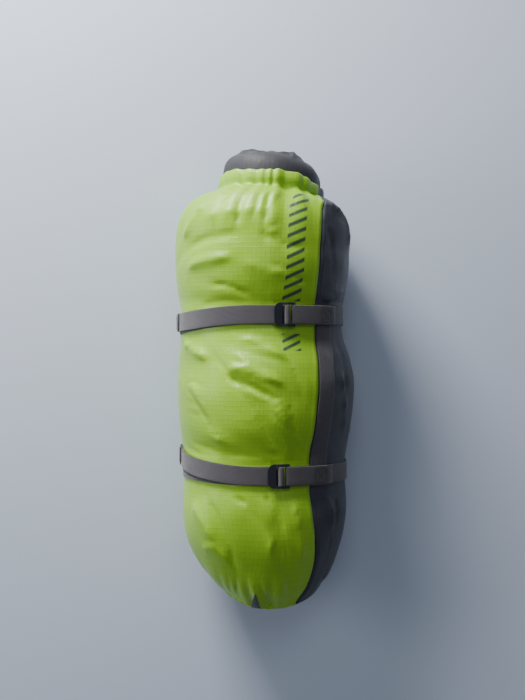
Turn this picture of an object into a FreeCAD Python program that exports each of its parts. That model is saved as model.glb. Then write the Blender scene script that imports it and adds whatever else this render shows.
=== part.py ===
"""A compression sack, packed full and lying on its back: sewn fabric shell, two webbing straps with
ladder-lock buckles, a drawcord mouth with a cord lock, and a dust flap over the mouth.

Millimetres. +Z is up, +Y runs from the base of the sack to its mouth, and +X is to the right of
someone who looks down at the sack with its mouth away from them. The origin is on the resting plane,
below the middle of the sack.
"""
import FreeCAD, Part
import math
import os
import Sketcher
from FreeCAD import Placement, Rotation, Vector

DOC = FreeCAD.newDocument("compression_sack")
SHEET = DOC.addObject("Spreadsheet::Sheet", "sizes")

# alias, value, what it is
SIZES = (
    ("sack_length", 500.0, "from the base to the top of the dust flap"),
    ("sack_width", 191.0, "across the widest girth"),
    ("sack_height", 161.0, "from the resting plane to the highest girth"),
    ("fabric", 0.8, "wall of the coated fabric, with its seam allowance"),
    ("fabric_gap", 0.3, "air between two layers that lie on each other"),
    ("mouth_radius", 54.0, "drawcord circle of the gathered mouth"),
    ("hem_radius", 5.0, "bunched tunnel hem around the drawcord"),
    ("cord_diameter", 2.5, "drawcord"),
    ("cord_bore_gap", 0.35, "air around the drawcord in its tunnel"),
    ("cord_turn", 4.0, "radius of the drawcord where it leaves the tunnel"),
    ("eyelet_flange", 1.2, "thickness of the metal eyelet"),
    ("eyelet_rim", 1.3, "width of the eyelet around its hole"),
    ("lock_radius", 7.0, "cord lock barrel"),
    ("lock_length", 20.0, "cord lock barrel, along its button"),
    ("lock_wall", 1.6, "cord lock barrel wall"),
    ("button_travel", 3.5, "stroke of the cord lock button"),
    ("button_head", 3.0, "thickness of the button's head"),
    ("slide_gap", 0.15, "running clearance of the button in the barrel"),
    ("spring_wire", 0.7, "wire of the cord lock spring"),
    ("spring_turns", 4.0, "coils of the cord lock spring"),
    ("knot_radius", 2.9, "knot in each end of the drawcord"),
    ("base_radius", 60.0, "sewn edge of the base"),
    ("binding_radius", 1.6, "tape rolled over the base seam"),
    ("base_bulge", 11.0, "rise of the base between its edges"),
    ("flap_radius", 54.6, "edge of the dust flap"),
    ("flap_rise", 30.0, "height of the dust flap over its edge"),
    ("flap_hem", 1.3, "radius of the dust flap's rolled hem"),
    ("webbing_width", 20.0, "all straps"),
    ("webbing_thick", 1.4, "all straps"),
    ("webbing_gap", 0.4, "air under a strap"),
    ("tape_width", 12.0, "seam tape inside the sack"),
    ("tape_thick", 0.6, "seam tape inside the sack"),
    ("bar_radius", 1.5, "round bars of the ladder lock"),
    ("bar_gap", 0.15, "air between a bar and the webbing around it"),
    ("rail_width", 2.3, "side rails of the ladder lock"),
    ("rail_gap", 0.4, "air beside the webbing in the ladder lock"),
    ("anchor_pitch", 7.2, "middle bar to anchor bar"),
    ("front_pitch", 6.4, "middle bar to front bar"),
    ("tab_reach", 8.0, "lifting tab in front of the front bar"),
    ("tab_thick", 2.2, "lifting tab"),
    ("box_length", 14.0, "box stitching along the strap"),
    ("tail_hem_length", 11.0, "webbing folded back at the free end"),
    ("thread_radius", 0.28, "sewing thread"),
    ("stitch_length", 2.1, "one stitch"),
    ("tab_height", 14.0, "small folded tab in the base seam"),
    ("tab_width", 9.0, "small folded tab in the base seam"),
)
for line, (alias, value, note) in enumerate(SIZES, start=1):
    SHEET.set("A%d" % line, alias)
    SHEET.set("B%d" % line, str(value))
    SHEET.set("C%d" % line, note)
    SHEET.setAlias("B%d" % line, alias)
DOC.recompute()


def size(alias):
    """A driving dimension, in millimetres."""
    return float(getattr(SHEET, alias))


LENGTH, WIDTH, HEIGHT = size("sack_length"), size("sack_width"), size("sack_height")
FABRIC, GAP = size("fabric"), size("fabric_gap")
WEB, WEB_WIDE, WEB_GAP = size("webbing_thick"), size("webbing_width"), size("webbing_gap")

# Girths of the packed sack, from the mouth to the base. y, x and z place the middle of a girth, as
# shares of the sack's length, width and height. half, down and up are its reach to the sides, down
# and up, as shares of the width and the height. square is the exponent of its lower half: 2 is a
# plain oval, and more is flatter against the resting plane. lean tips the girth's top towards the
# mouth and yaw turns it, in degrees. seam is where the right-hand seam lies, in degrees from the top.
COLUMNS = ("y", "x", "z", "half", "down", "up", "square", "lean", "yaw", "seam")
GIRTHS = (
    (0.400, 0.031, 0.503, 0.351, 0.397, 0.398, 2.1, 4.5, -4.5, 58.0),
    (0.386, 0.016, 0.484, 0.435, 0.447, 0.453, 2.3, 3.5, -3.0, 50.0),
    (0.364, 0.000, 0.466, 0.479, 0.460, 0.497, 2.6, 2.0, -1.5, 45.0),
    (0.332, -0.010, 0.460, 0.498, 0.4619, 0.528, 3.2, 1.0, 0.0, 43.0),
    (0.260, -0.016, 0.460, 0.500, 0.4619, 0.540, 3.4, 0.0, 0.0, 42.0),
    (0.200, -0.016, 0.460, 0.487, 0.4585, 0.522, 3.4, 0.0, 0.0, 42.0),
    (0.164, -0.016, 0.460, 0.466, 0.4470, 0.484, 3.2, 0.0, 0.0, 43.0),
    (0.092, -0.016, 0.460, 0.466, 0.4470, 0.484, 3.2, 0.0, 0.0, 43.0),
    (0.048, 0.000, 0.460, 0.487, 0.4600, 0.516, 3.4, 0.0, 0.0, 40.0),
    (-0.010, 0.015, 0.460, 0.500, 0.4619, 0.534, 3.4, 0.0, 0.0, 37.0),
    (-0.090, 0.005, 0.460, 0.484, 0.4600, 0.516, 3.4, 0.0, 0.0, 37.0),
    (-0.160, 0.003, 0.447, 0.4685, 0.4340, 0.472, 3.2, 0.0, 0.0, 36.0),
    (-0.228, 0.003, 0.447, 0.4685, 0.4340, 0.472, 3.2, 0.0, 0.0, 36.0),
    (-0.280, 0.003, 0.447, 0.471, 0.4475, 0.484, 3.2, 0.0, 0.0, 38.0),
    (-0.330, 0.000, 0.435, 0.461, 0.4360, 0.466, 3.0, -3.0, 0.0, 42.0),
    (-0.374, 0.005, 0.410, 0.429, 0.4020, 0.435, 2.6, -11.0, 0.0, 45.0),
    (-0.406, 0.021, 0.379, 0.377, 0.3840, 0.410, 2.2, -22.0, 0.0, 40.0),
)
UPPER_SQUARE = 2.15
MOUTH = {"y": 0.418, "x": 0.037, "z": 0.509, "lean": 5.0, "yaw": -5.0, "seam": 62.0}
BASE = {"y": -0.430, "x": 0.034, "z": 0.348, "lean": -32.0, "yaw": 0.0, "seam": 28.0}


def hoop_axes(lean, yaw):
    """Right, out and up of a girth whose top leans towards the mouth and which is turned by yaw."""
    lean, yaw = math.radians(lean), math.radians(yaw)
    right = Vector(math.cos(yaw), math.sin(yaw), 0)
    ahead = Vector(-math.sin(yaw), math.cos(yaw), 0)
    up = ahead * math.sin(lean) + Vector(0, 0, 1) * math.cos(lean)
    out = ahead * math.cos(lean) - Vector(0, 0, 1) * math.sin(lean)
    return right, out, up


def end_frame(end):
    """The plane of the mouth or the base: +Y points out of the mouth."""
    right, out, up = hoop_axes(end["lean"], end["yaw"])
    middle = Vector(end["x"] * WIDTH, end["y"] * LENGTH, end["z"] * HEIGHT)
    return Placement(middle, Rotation(right, out, up, "ZXY"))


MOUTH_FRAME, BASE_FRAME = end_frame(MOUTH), end_frame(BASE)


def end_row(end, radius, along):
    """The last girth at an end, a round one, moved along that end's own axis."""
    middle = end_frame(end).multVec(Vector(0, along, 0))
    return (middle.y, middle.x, middle.z, radius, radius, radius, 2.0, end["lean"], end["yaw"], end["seam"])


def girth_rows():
    """The girths in millimetres, from the mouth to the base."""
    behind_hem = -(size("hem_radius") + GAP)
    rows = [end_row(MOUTH, size("mouth_radius") + size("hem_radius") / 2, behind_hem)]
    for row in GIRTHS:
        scale = (LENGTH, WIDTH, HEIGHT, WIDTH, HEIGHT, HEIGHT, 1, 1, 1, 1)
        rows.append(tuple(share * whole for share, whole in zip(row, scale)))
    rows.append(end_row(BASE, size("base_radius"), 0.0))
    return rows


ROWS = girth_rows()
MOUTH_END, BASE_END = ROWS[0][0], ROWS[-1][0]


def slopes(xs, ys):
    """Slope at each point of a curve that never overshoots its points."""
    steps = [(ys[i + 1] - ys[i]) / (xs[i + 1] - xs[i]) for i in range(len(xs) - 1)]
    inner = [2 * a * b / (a + b) if a * b > 0 else 0.0 for a, b in zip(steps, steps[1:])]
    return [steps[0]] + inner + [steps[-1]]


SLOPES = [slopes([row[0] for row in ROWS], [row[k] for row in ROWS]) for k in range(len(COLUMNS))]


def girth(y):
    """Every column of the girth whose middle is at y, in millimetres and degrees."""
    y = max(BASE_END, min(MOUTH_END, y))
    i = next(k for k in range(len(ROWS) - 1) if y >= ROWS[k + 1][0])
    low, high = ROWS[i], ROWS[i + 1]
    span = high[0] - low[0]
    t = (y - low[0]) / span
    found = {}
    for k, name in enumerate(COLUMNS):
        a, b = SLOPES[k][i] * span, SLOPES[k][i + 1] * span
        rise = (low[k] * (2 * t ** 3 - 3 * t ** 2 + 1) + a * (t ** 3 - 2 * t ** 2 + t)
                + high[k] * (3 * t ** 2 - 2 * t ** 3) + b * (t ** 3 - t ** 2))
        found[name] = rise
    return found


def outline(g, angle):
    """Side and height of a girth's own outline at an angle from its top, and the outward direction."""
    s, c = math.sin(math.radians(angle)), math.cos(math.radians(angle))
    flat = g["square"] if c < 0 else 2 + (UPPER_SQUARE - 2) * min(1.0, g["square"] - 2)
    tall = g["down"] if c < 0 else g["up"]
    reach = (abs(s / g["half"]) ** flat + abs(c / tall) ** flat) ** (-1 / flat)
    side, high = reach * s, reach * c
    nx = math.copysign(abs(side / g["half"]) ** (flat - 1) / g["half"], s)
    nz = math.copysign(abs(high / tall) ** (flat - 1) / tall, c)
    length = math.hypot(nx, nz)
    return side, high, nx / length, nz / length


def skin(y, angle):
    """A point of the sack's outer surface."""
    g = girth(y)
    right, _, up = hoop_axes(g["lean"], g["yaw"])
    side, high, _, _ = outline(g, angle)
    return Vector(g["x"], g["y"], g["z"]) + right * side + up * high


def skin_out(y, angle):
    """The outward direction of the sack's surface."""
    step = 0.5
    ahead = skin(min(MOUTH_END, y + step), angle) - skin(max(BASE_END, y - step), angle)
    round_it = skin(y, angle + step) - skin(y, angle - step)
    return round_it.cross(ahead).normalize()


def lifted(y, angle, lift):
    """A point above (or, with a lift below zero, under) the sack's outer surface."""
    return skin(y, angle) + skin_out(y, angle) * lift


# ---------------------------------------------------------------- builders of document objects


def named(thing, label):
    """Gives a document object the name that its file gets."""
    thing.Label = label
    PARTS.append(thing)
    return thing


PARTS = []


def free_shape(label, shape, placement=Placement()):
    """A sub-part whose shape is worked out in code."""
    thing = DOC.addObject("Part::Feature", label)
    thing.Shape = shape
    thing.Placement = placement
    return thing


def primitive(kind, label, placement=Placement(), **cells):
    """A Part primitive with its sizes bound to expressions."""
    thing = DOC.addObject("Part::" + kind, label)
    for name, formula in cells.items():
        thing.setExpression(name, formula)
    thing.Placement = placement
    return thing


def boolean(kind, label, base, tool):
    """A Part::Cut or a two-part Part::Fuse or Part::Common."""
    thing = DOC.addObject("Part::" + kind, label)
    thing.Base, thing.Tool = base, tool
    return thing


def new_body(label, placement=Placement()):
    body = DOC.addObject("PartDesign::Body", label)
    body.Placement = placement
    return body


def new_sketch(body, plane, label):
    """An empty sketch on one of the body's own origin planes."""
    sketch = body.newObject("Sketcher::SketchObject", label)
    found = next(o for o in body.Origin.OriginFeatures if o.Role == plane)
    sketch.AttachmentSupport = [(found, "")]
    sketch.MapMode = "FlatFace"
    return sketch


def draw(sketch, edges):
    """Puts lines and arcs into a sketch, each starting where the last one ended."""
    for edge in edges:
        sketch.addGeometry(edge, False)
    return sketch


def polygon(corners):
    """Straight edges around a closed outline of (x, y) corners."""
    points = [Vector(x, y, 0) for x, y in corners]
    return [Part.LineSegment(a, b) for a, b in zip(points, points[1:] + points[:1])]


def pad(body, sketch, label, formula, midplane=False):
    feature = body.newObject("PartDesign::Pad", label)
    feature.Profile = sketch
    feature.Midplane = midplane
    feature.setExpression("Length", formula)
    return feature


def sewn(faces):
    """One closed solid from faces that share their edges."""
    shell = Part.makeShell(faces)
    shell.sewShape()
    solid = Part.Solid(shell)
    if solid.Volume < 0:
        solid.reverse()
    return solid


def patch(grid):
    surface = Part.BSplineSurface()
    surface.interpolate(grid)
    return surface.toShape()


def rim(face):
    """The four edges of a patch: first row, last row, first column, last column."""
    surface = face.Surface
    u0, u1, v0, v1 = surface.bounds()
    return (surface.uIso(u0).toShape(), surface.uIso(u1).toShape(),
            surface.vIso(v0).toShape(), surface.vIso(v1).toShape())


def slab(outer, inner):
    """A thin curved solid between two grids of points."""
    faces = [patch(outer), patch(inner)]
    sides = [Part.makeRuledSurface(a, b) for a, b in zip(rim(faces[0]), rim(faces[1]))]
    return sewn(faces + sides)


def spread(low, high, count):
    return [low + (high - low) * i / (count - 1) for i in range(count)]


def stations(low, high, step=9.0):
    """Girth positions from high to low: the rows between them, and more where they are far apart."""
    stops = [high] + [row[0] for row in ROWS if low + 2 < row[0] < high - 2] + [low]
    found = []
    for a, b in zip(stops, stops[1:]):
        found += spread(a, b, int((a - b) / step) + 2)[:-1]
    return found + [low]


# ---------------------------------------------------------------- the sewn shell

SEAM_GAP_DEG = 0.65


def panel(start, end):
    """A fabric panel between two angles counted from the seam, from the mouth to the base."""
    def grid(lift):
        rows = []
        for y in stations(BASE_END, MOUTH_END):
            seam = girth(y)["seam"]
            rows.append([lifted(y, seam + a, lift) for a in spread(start, end, 27)])
        return rows
    return slab(grid(0.0), grid(-FABRIC))


def make_panels():
    named(free_shape("main_panel", panel(-180 + SEAM_GAP_DEG, -SEAM_GAP_DEG)), "main_panel")
    soft = free_shape("side_panel_soft", panel(SEAM_GAP_DEG, 180 - SEAM_GAP_DEG))
    ground = primitive("Box", "resting_plane", Placement(Vector(-WIDTH, -LENGTH, -WIDTH), Rotation()),
                       Length="2 * sizes.sack_width", Width="2 * sizes.sack_length",
                       Height="sizes.sack_width")
    named(boolean("Cut", "side_panel_cut", soft, ground), "side_panel")


def band(y_low, y_high, start_mm, wide, lift, thick, from_angle):
    """A strip along the sack. Its first edge is start_mm from from_angle(girth), measured round it."""
    def grid(level):
        rows = []
        for y in stations(y_low, y_high):
            g = girth(y)
            radius = (g["half"] + g["up"]) / 2
            per_mm = math.degrees(1 / radius)
            first = from_angle(g) + start_mm * per_mm
            rows.append([lifted(y, first + step * per_mm, level) for step in spread(0, wide, 5)])
        return rows
    return slab(grid(lift + thick), grid(lift))


def make_seam_tapes():
    """Tape over both seams, inside the sack, clear of the mouth and the base."""
    wide, thick = size("tape_width"), size("tape_thick")
    low, high = ROWS[-4][0], ROWS[2][0]
    for label, turn in (("near_seam_tape", 0.0), ("far_seam_tape", 180.0)):
        tape = band(low, high, -wide / 2, wide, -(FABRIC + GAP + thick), thick,
                    lambda g, turn=turn: g["seam"] - turn)
        named(free_shape(label, tape), label)


def closed_outline(g, inset):
    """A girth's outline in its own plane, drawn in by inset, as a closed wire."""
    right, _, up = hoop_axes(g["lean"], g["yaw"])
    middle = Vector(g["x"], g["y"], g["z"])
    points = []
    for angle in spread(0, 360, 33)[:-1]:
        side, high, nx, nz = outline(g, angle)
        points.append(middle + right * (side - nx * inset) + up * (high - nz * inset))
    curve = Part.BSplineCurve()
    curve.interpolate(points, PeriodicFlag=True)
    return Part.Wire([curve.toShape()])


def make_load():
    """What the sack is packed with: a roll that fills the shell and rises into the mouth."""
    inset = FABRIC + size("tape_thick") + 4 * GAP
    wires = [closed_outline(girth(y), inset + 2.6) for y in stations(ROWS[-2][0], ROWS[2][0], 16.0)]
    roll = free_shape("load_roll", Part.makeLoft(wires, True, True))
    head_radius = size("mouth_radius") - size("hem_radius") - 4 * GAP
    head = DOC.addObject("Part::Ellipsoid", "load_head")
    head.Angle1, head.Angle2, head.Angle3 = -90, 90, 360
    head.setExpression("Radius1", "sizes.flap_rise - 2")
    head.Radius2, head.Radius3 = head_radius, head_radius
    turn = Rotation(Vector(1, 0, 0), -90)
    lift = size("hem_radius")
    head.Placement = MOUTH_FRAME.multiply(Placement(Vector(0, lift - 2, 0), turn))
    neck = primitive("Cylinder", "load_neck", MOUTH_FRAME.multiply(
        Placement(Vector(0, lift - 1, 0), Rotation(Vector(1, 0, 0), 90))))
    neck.Radius = head_radius - 1
    neck.Height = 30
    raised = boolean("Fuse", "load_raised", head, neck)
    named(boolean("Fuse", "load_fused", roll, raised), "packed_load")


def make_base():
    """The round base, sewn in with a rolled tape, and the small folded tab in that seam."""
    edge = size("base_radius") - 2 * size("binding_radius") - GAP
    drop, bulge = size("binding_radius") + GAP, size("base_bulge")
    ball = (edge ** 2 + bulge ** 2) / (2 * bulge)
    reach = math.asin(edge / ball)
    middle = Vector(0, ball - drop - bulge, 0)
    body = new_body("base_body", BASE_FRAME)
    sketch = new_sketch(body, "XY_Plane", "base_profile")

    def spot(radius, angle):
        return middle + Vector(math.sin(angle), -math.cos(angle), 0) * radius

    def arc(radius, start, end):
        return Part.Arc(spot(radius, start), spot(radius, (start + end) / 2), spot(radius, end))

    inside = ball - FABRIC
    draw(sketch, [arc(ball, 0, reach), Part.LineSegment(spot(ball, reach), spot(inside, reach)),
                  arc(inside, reach, 0), Part.LineSegment(spot(inside, 0), spot(ball, 0))])
    turn = body.newObject("PartDesign::Revolution", "base_turn")
    turn.Profile = sketch
    turn.ReferenceAxis = (sketch, ["V_Axis"])
    turn.Angle = 360
    named(body, "base_panel")
    flat = Rotation(Vector(1, 0, 0), 90)
    binding = primitive("Torus", "base_ring", BASE_FRAME.multiply(Placement(Vector(0, -drop, 0), flat)),
                        Radius1="sizes.base_radius - sizes.binding_radius",
                        Radius2="sizes.binding_radius")
    named(binding, "base_binding")
    make_base_tab()


TAB_ANGLE = -15.0


def make_base_tab():
    """A small triangle of folded tape that stands out of the base seam onto the main panel."""
    wide, tall = size("tab_width"), size("tab_height")
    radius = size("base_radius")

    def corner(across, up, lift):
        y = BASE_END + 0.8 + up * 0.82
        return lifted(y, TAB_ANGLE + math.degrees(across / radius), lift)

    low, high = 1.4, 1.4 + 2 * FABRIC
    outline_points = ((-wide / 2, 0.0), (wide / 2, 0.0), (wide * 0.42, tall))
    bottom = [corner(across, up, low) for across, up in outline_points]
    top = [corner(across, up, high) for across, up in outline_points]
    faces = [Part.Face(Part.makePolygon(loop + loop[:1])) for loop in (bottom, top)]
    for i in range(3):
        j = (i + 1) % 3
        faces += [Part.Face(Part.makePolygon([bottom[i], bottom[j], top[j], bottom[i]])),
                  Part.Face(Part.makePolygon([bottom[i], top[j], top[i], bottom[i]]))]
    named(free_shape("base_tab", sewn(faces)), "base_tab")


# ---------------------------------------------------------------- the mouth


def cord_path(leg_end):
    """The drawcord's line in the mouth's plane: up one leg, round the mouth and down the other."""
    ring, turn = size("mouth_radius"), size("cord_turn")
    leg = LEG
    middle = Vector(leg + turn, -math.sqrt((ring + turn) ** 2 - (leg + turn) ** 2), 0)
    on_ring = middle * (ring / (ring + turn))
    to_ring = Vector(-1, 1, 0).normalize()
    bend = middle + to_ring * turn
    flip = lambda v: Vector(-v.x, v.y, 0)
    edges = [Part.LineSegment(Vector(leg, -leg_end, 0), Vector(leg, middle.y, 0)),
             Part.Arc(Vector(leg, middle.y, 0), bend, on_ring),
             Part.Arc(on_ring, Vector(0, ring, 0), flip(on_ring)),
             Part.Arc(flip(on_ring), flip(bend), Vector(-leg, middle.y, 0)),
             Part.LineSegment(Vector(-leg, middle.y, 0), Vector(-leg, -leg_end, 0))]
    return Part.Wire([edge.toShape() for edge in edges])


def tube(path, radius):
    """A round tube along a wire that starts upwards, parallel to Y."""
    start = path.Edges[0].Vertexes[0].Point
    ring = Part.Wire([Part.Circle(start, Vector(0, 1, 0), radius).toShape()])
    return path.makePipeShell([ring], True, True)


def upright(placement=Placement()):
    """Turns a shape drawn flat, with Y up, into the mouth's plane."""
    return MOUTH_FRAME.multiply(Placement(Vector(0, 0, 0), Rotation(Vector(1, 0, 0), 90))).multiply(placement)


CORD = size("cord_diameter") / 2
LEG = CORD + size("cord_bore_gap") + 0.05
HEM = size("hem_radius")
EYELET_OUT = size("mouth_radius") + HEM
LOCK_MIDDLE = EYELET_OUT + size("eyelet_flange") + 2 * GAP + size("lock_radius")
CORD_END = LOCK_MIDDLE + size("lock_radius") + size("knot_radius") + GAP


def make_mouth():
    """Tunnel hem, the drawcord inside it, its eyelet and its knots."""
    ring = primitive("Torus", "hem_ring", upright(), Radius1="sizes.mouth_radius",
                     Radius2="sizes.hem_radius")
    tunnel = free_shape("hem_tunnel", tube(cord_path(CORD_END), CORD + size("cord_bore_gap")), upright())
    seat = primitive("Cylinder", "hem_eyelet_seat", upright(Placement(
        Vector(0, -EYELET_OUT - 1, 0), Rotation(Vector(1, 0, 0), -90))),
        Radius="sizes.cord_diameter + 0.8 + sizes.eyelet_rim + sizes.fabric_gap", Height="2.2")
    bored = boolean("Cut", "hem_bored", ring, tunnel)
    named(boolean("Cut", "hem_seated", bored, seat), "mouth_hem")
    cord = tube(cord_path(CORD_END), CORD)
    named(free_shape("drawcord_tube", cord, upright()), "drawcord")

    eyelet = new_body("eyelet_body", upright(Placement(
        Vector(0, -EYELET_OUT + 1.0, 0), Rotation(Vector(1, 0, 0), 90))))
    sketch = new_sketch(eyelet, "XY_Plane", "eyelet_outline")
    sketch.addGeometry(Part.Circle(Vector(0, 0, 0), Vector(0, 0, 1), 5.3), False)
    sketch.addConstraint(Sketcher.Constraint("Radius", 0, 5.3))
    sketch.renameConstraint(0, "outside")
    sketch.setExpression("Constraints.outside", "sizes.cord_diameter + 0.8 + sizes.eyelet_rim")
    side, half = LEG, CORD + size("cord_bore_gap")
    edges = [Part.LineSegment(Vector(-side, half, 0), Vector(side, half, 0)),
             Part.Arc(Vector(side, half, 0), Vector(side + half, 0, 0), Vector(side, -half, 0)),
             Part.LineSegment(Vector(side, -half, 0), Vector(-side, -half, 0)),
             Part.Arc(Vector(-side, -half, 0), Vector(-side - half, 0, 0), Vector(-side, half, 0))]
    draw(sketch, edges)
    pad(eyelet, sketch, "eyelet_pad", "sizes.eyelet_flange")
    named(eyelet, "cord_eyelet")

    knots = []
    for side in (-1, 1):
        knot = Part.makeSphere(size("knot_radius"), Vector(0, 0, 0), Vector(0, 1, 0), -90, 90, 360)
        knot = knot.cut(Part.makeCylinder(CORD + 0.1, 2 * size("knot_radius"),
                                          Vector(0, -0.5, 0), Vector(0, 1, 0)))
        spot = Vector(side * (size("knot_radius") + 0.1), -CORD_END, 0)
        knot.translate(spot)
        knots.append(knot)
    cords = free_shape("knot_cords", cord, upright())
    balls = free_shape("knot_balls", Part.makeCompound(knots), upright())
    named(boolean("Cut", "knots_cut", balls, cords), "cord_knots")


def make_cord_lock():
    """Barrel, sprung button and spring of the cord lock. The button points to the right."""
    radius, length, wall = size("lock_radius"), size("lock_length"), size("lock_wall")
    travel, slip = size("button_travel"), size("slide_gap")
    hole_half = LEG + CORD + size("cord_bore_gap")
    across = CORD + size("cord_bore_gap")
    # Drawn along +Z, which becomes the mouth's +X: closed end low, button high.
    along = upright(Placement(Vector(0, -LOCK_MIDDLE, 0), Rotation(Vector(0, 1, 0), 90)))
    low, high = -0.59 * length, 0.41 * length

    body = new_body("lock_body", along)
    sketch = new_sketch(body, "XZ_Plane", "lock_profile")
    draw(sketch, polygon(((0, low), (radius, low), (radius, high), (radius - wall, high),
                          (radius - wall, low + wall), (0, low + wall))))
    turn = body.newObject("PartDesign::Revolution", "lock_turn")
    turn.Profile = sketch
    turn.ReferenceAxis = (sketch, ["V_Axis"])
    turn.Angle = 360
    DOC.recompute()
    hole = new_sketch(body, "XZ_Plane", "lock_hole")
    draw(hole, slot_outline(hole_half, across))
    cut = body.newObject("PartDesign::Pocket", "lock_cord_hole")
    cut.Profile = hole
    cut.Midplane = True
    cut.Type = "Length"
    cut.Length = 4 * radius
    DOC.recompute()
    soften(body, cut, "lock_round", 1.0, lambda e: on_circle(e, radius, low) or on_circle(e, radius, high))
    named(body, "cord_lock_body")

    stem = radius - wall - slip
    button = new_body("lock_button", along)
    inner = low + wall + spring_length()
    sketch = new_sketch(button, "XZ_Plane", "button_profile")
    head = high + travel
    draw(sketch, polygon(((0, inner), (stem, inner), (stem, head), (radius - 0.4, head),
                          (radius - 0.4, head + size("button_head")), (0, head + size("button_head")))))
    turn = button.newObject("PartDesign::Revolution", "button_turn")
    turn.Profile = sketch
    turn.ReferenceAxis = (sketch, ["V_Axis"])
    turn.Angle = 360
    DOC.recompute()
    slot = new_sketch(button, "XZ_Plane", "button_slot")
    draw(slot, slot_outline(hole_half, across, travel))
    cut = button.newObject("PartDesign::Pocket", "button_cord_slot")
    cut.Profile = slot
    cut.Midplane = True
    cut.Type = "Length"
    cut.Length = 4 * radius
    DOC.recompute()
    top = head + size("button_head")
    soften(button, cut, "button_round", 0.9, lambda e: on_circle(e, radius - 0.4, top))
    named(button, "cord_lock_button")

    wire, turns = size("spring_wire") / 2, size("spring_turns")
    tall = spring_length() - 2 * wire - 2 * slip
    spring = coil(stem - 1.6, tall, turns, wire)
    start = Placement(Vector(0, 0, low + wall + wire + slip), Rotation())
    named(free_shape("lock_spring", spring, along.multiply(start)), "cord_lock_spring")


def coil(radius, tall, turns, wire):
    """A wound spring: two half-round skins along a helix, closed by a flat end at each side."""
    def half(first, last):
        rows = []
        for share in spread(0.0, 1.0, int(16 * turns) + 1):
            a = 2 * math.pi * turns * share
            out = Vector(math.cos(a), math.sin(a), 0)
            ahead = Vector(-math.sin(a) * radius, math.cos(a) * radius, tall / (2 * math.pi * turns))
            side = ahead.cross(out).normalize()
            middle = out * radius + Vector(0, 0, tall * share)
            row = [middle + (out * math.cos(math.radians(t)) + side * math.sin(math.radians(t))) * wire
                   for t in spread(first, last, 7)]
            rows.append(row)
        return patch(rows)

    skins = [half(0, 180), half(360, 180)]
    rims = [rim(skin_half) for skin_half in skins]
    ends = [Part.Face(Part.Wire([rims[0][k], rims[1][k]])) for k in (0, 1)]
    return sewn(skins + ends)


def spring_length():
    """Room for the spring between the barrel's closed end and the button."""
    return size("button_travel") + (size("spring_turns") + 1) * size("spring_wire") * 0.55


def slot_outline(half, across, extra=0.0):
    """An upright slot for two cords side by side. extra makes it longer towards the button's head."""
    low, high = -half, half + extra
    return polygon(((-across, low), (across, low), (across, high), (-across, high)))


def on_circle(edge, radius, level):
    curve = edge.Curve
    return (isinstance(curve, Part.Circle) and abs(curve.Radius - radius) < 1e-4
            and abs(abs(curve.Center.z) - abs(level)) < 1e-4 and curve.Center.z * level > 0)


def soften(body, feature, label, radius, wanted):
    """Fillets the edges of a feature that a test picks."""
    names = ["Edge%d" % (i + 1) for i, e in enumerate(feature.Shape.Edges) if wanted(e)]
    if not names:
        raise RuntimeError(label + " finds no edge")
    fillet = body.newObject("PartDesign::Fillet", label)
    fillet.Base = (feature, names)
    fillet.Radius = radius
    DOC.recompute()
    return fillet


# How full the dust flap is, from its right-hand side round to its left: 2 is a ball, more is boxier.
FLAP_RIGHT, FLAP_LEFT = 2.4, 3.6
FLAP_LEVELS = (0.0, 0.2, 0.4, 0.58, 0.74, 0.87, 0.96)


def flap_ring(level, radius, rise, start):
    """One level outline of the dust flap, drawn flat."""
    points = []
    for angle in spread(0, 360, 29)[:-1]:
        a = math.radians(angle)
        full = (FLAP_RIGHT + FLAP_LEFT) / 2 + (FLAP_RIGHT - FLAP_LEFT) / 2 * math.cos(a)
        reach = radius * (1 - level ** full) ** (1 / full)
        points.append(Vector(reach * math.cos(a), reach * math.sin(a), start + rise * level))
    curve = Part.BSplineCurve()
    curve.interpolate(points, PeriodicFlag=True)
    return Part.Wire([curve.toShape()])


def make_flap():
    """The dust flap over the mouth: a domed cap of fabric with a rolled hem."""
    radius, rise, hem = size("flap_radius"), size("flap_rise"), size("flap_hem")
    seat = MOUTH_FRAME.multiply(Placement(Vector(0, HEM + GAP, 0), Rotation(Vector(1, 0, 0), -90)))
    rings = [flap_ring(level, radius, rise, 2 * hem + GAP) for level in FLAP_LEVELS]
    outside = free_shape("flap_outside", Part.makeLoft(rings, True), seat)
    hollow = [flap_ring(level, radius - FABRIC, rise - FABRIC, 2 * hem + GAP) for level in FLAP_LEVELS]
    lead = flap_ring(0.0, radius - FABRIC, rise, 2 * hem + GAP - 1)
    inside = free_shape("flap_inside", Part.makeLoft([lead] + hollow, True), seat)
    named(boolean("Cut", "flap_cut", outside, inside), "dust_flap")
    ring = primitive("Torus", "flap_ring", seat.multiply(Placement(Vector(0, 0, hem), Rotation())),
                     Radius1="sizes.flap_radius - sizes.flap_hem", Radius2="sizes.flap_hem")
    named(ring, "flap_binding")


# ---------------------------------------------------------------- straps and ladder locks

# name, the strap's middle as a share of the length, how far its left side is pulled towards the
# base, the middle bar's angle from the top, how far round the free end reaches, in degrees, and how
# far the free end swings towards the mouth
STRAPS = (
    ("upper", 0.1400, 10.0, 19.0, -84.0, 3.0),
    ("lower", -0.1985, -3.0, 12.4, -93.0, 14.0),
)
HUG = size("bar_radius") + size("bar_gap") + WEB / 2
LIE = WEB_GAP + WEB / 2
LAYER = WEB + GAP


def smooth(x):
    """Eases from 0 to 1."""
    x = max(0.0, min(1.0, x))
    return x * x * (3 - 2 * x)


def make_seam_webbing():
    """Webbing along the right-hand seam, under both straps."""
    low = STRAPS[1][1] * LENGTH - WEB_WIDE / 2 - 1
    high = STRAPS[0][1] * LENGTH + WEB_WIDE / 2 + 1
    strip = band(low, high, 0.0, WEB_WIDE, GAP, WEB, lambda g: g["seam"])
    named(free_shape("seam_webbing_band", strip), "seam_webbing")


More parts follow.
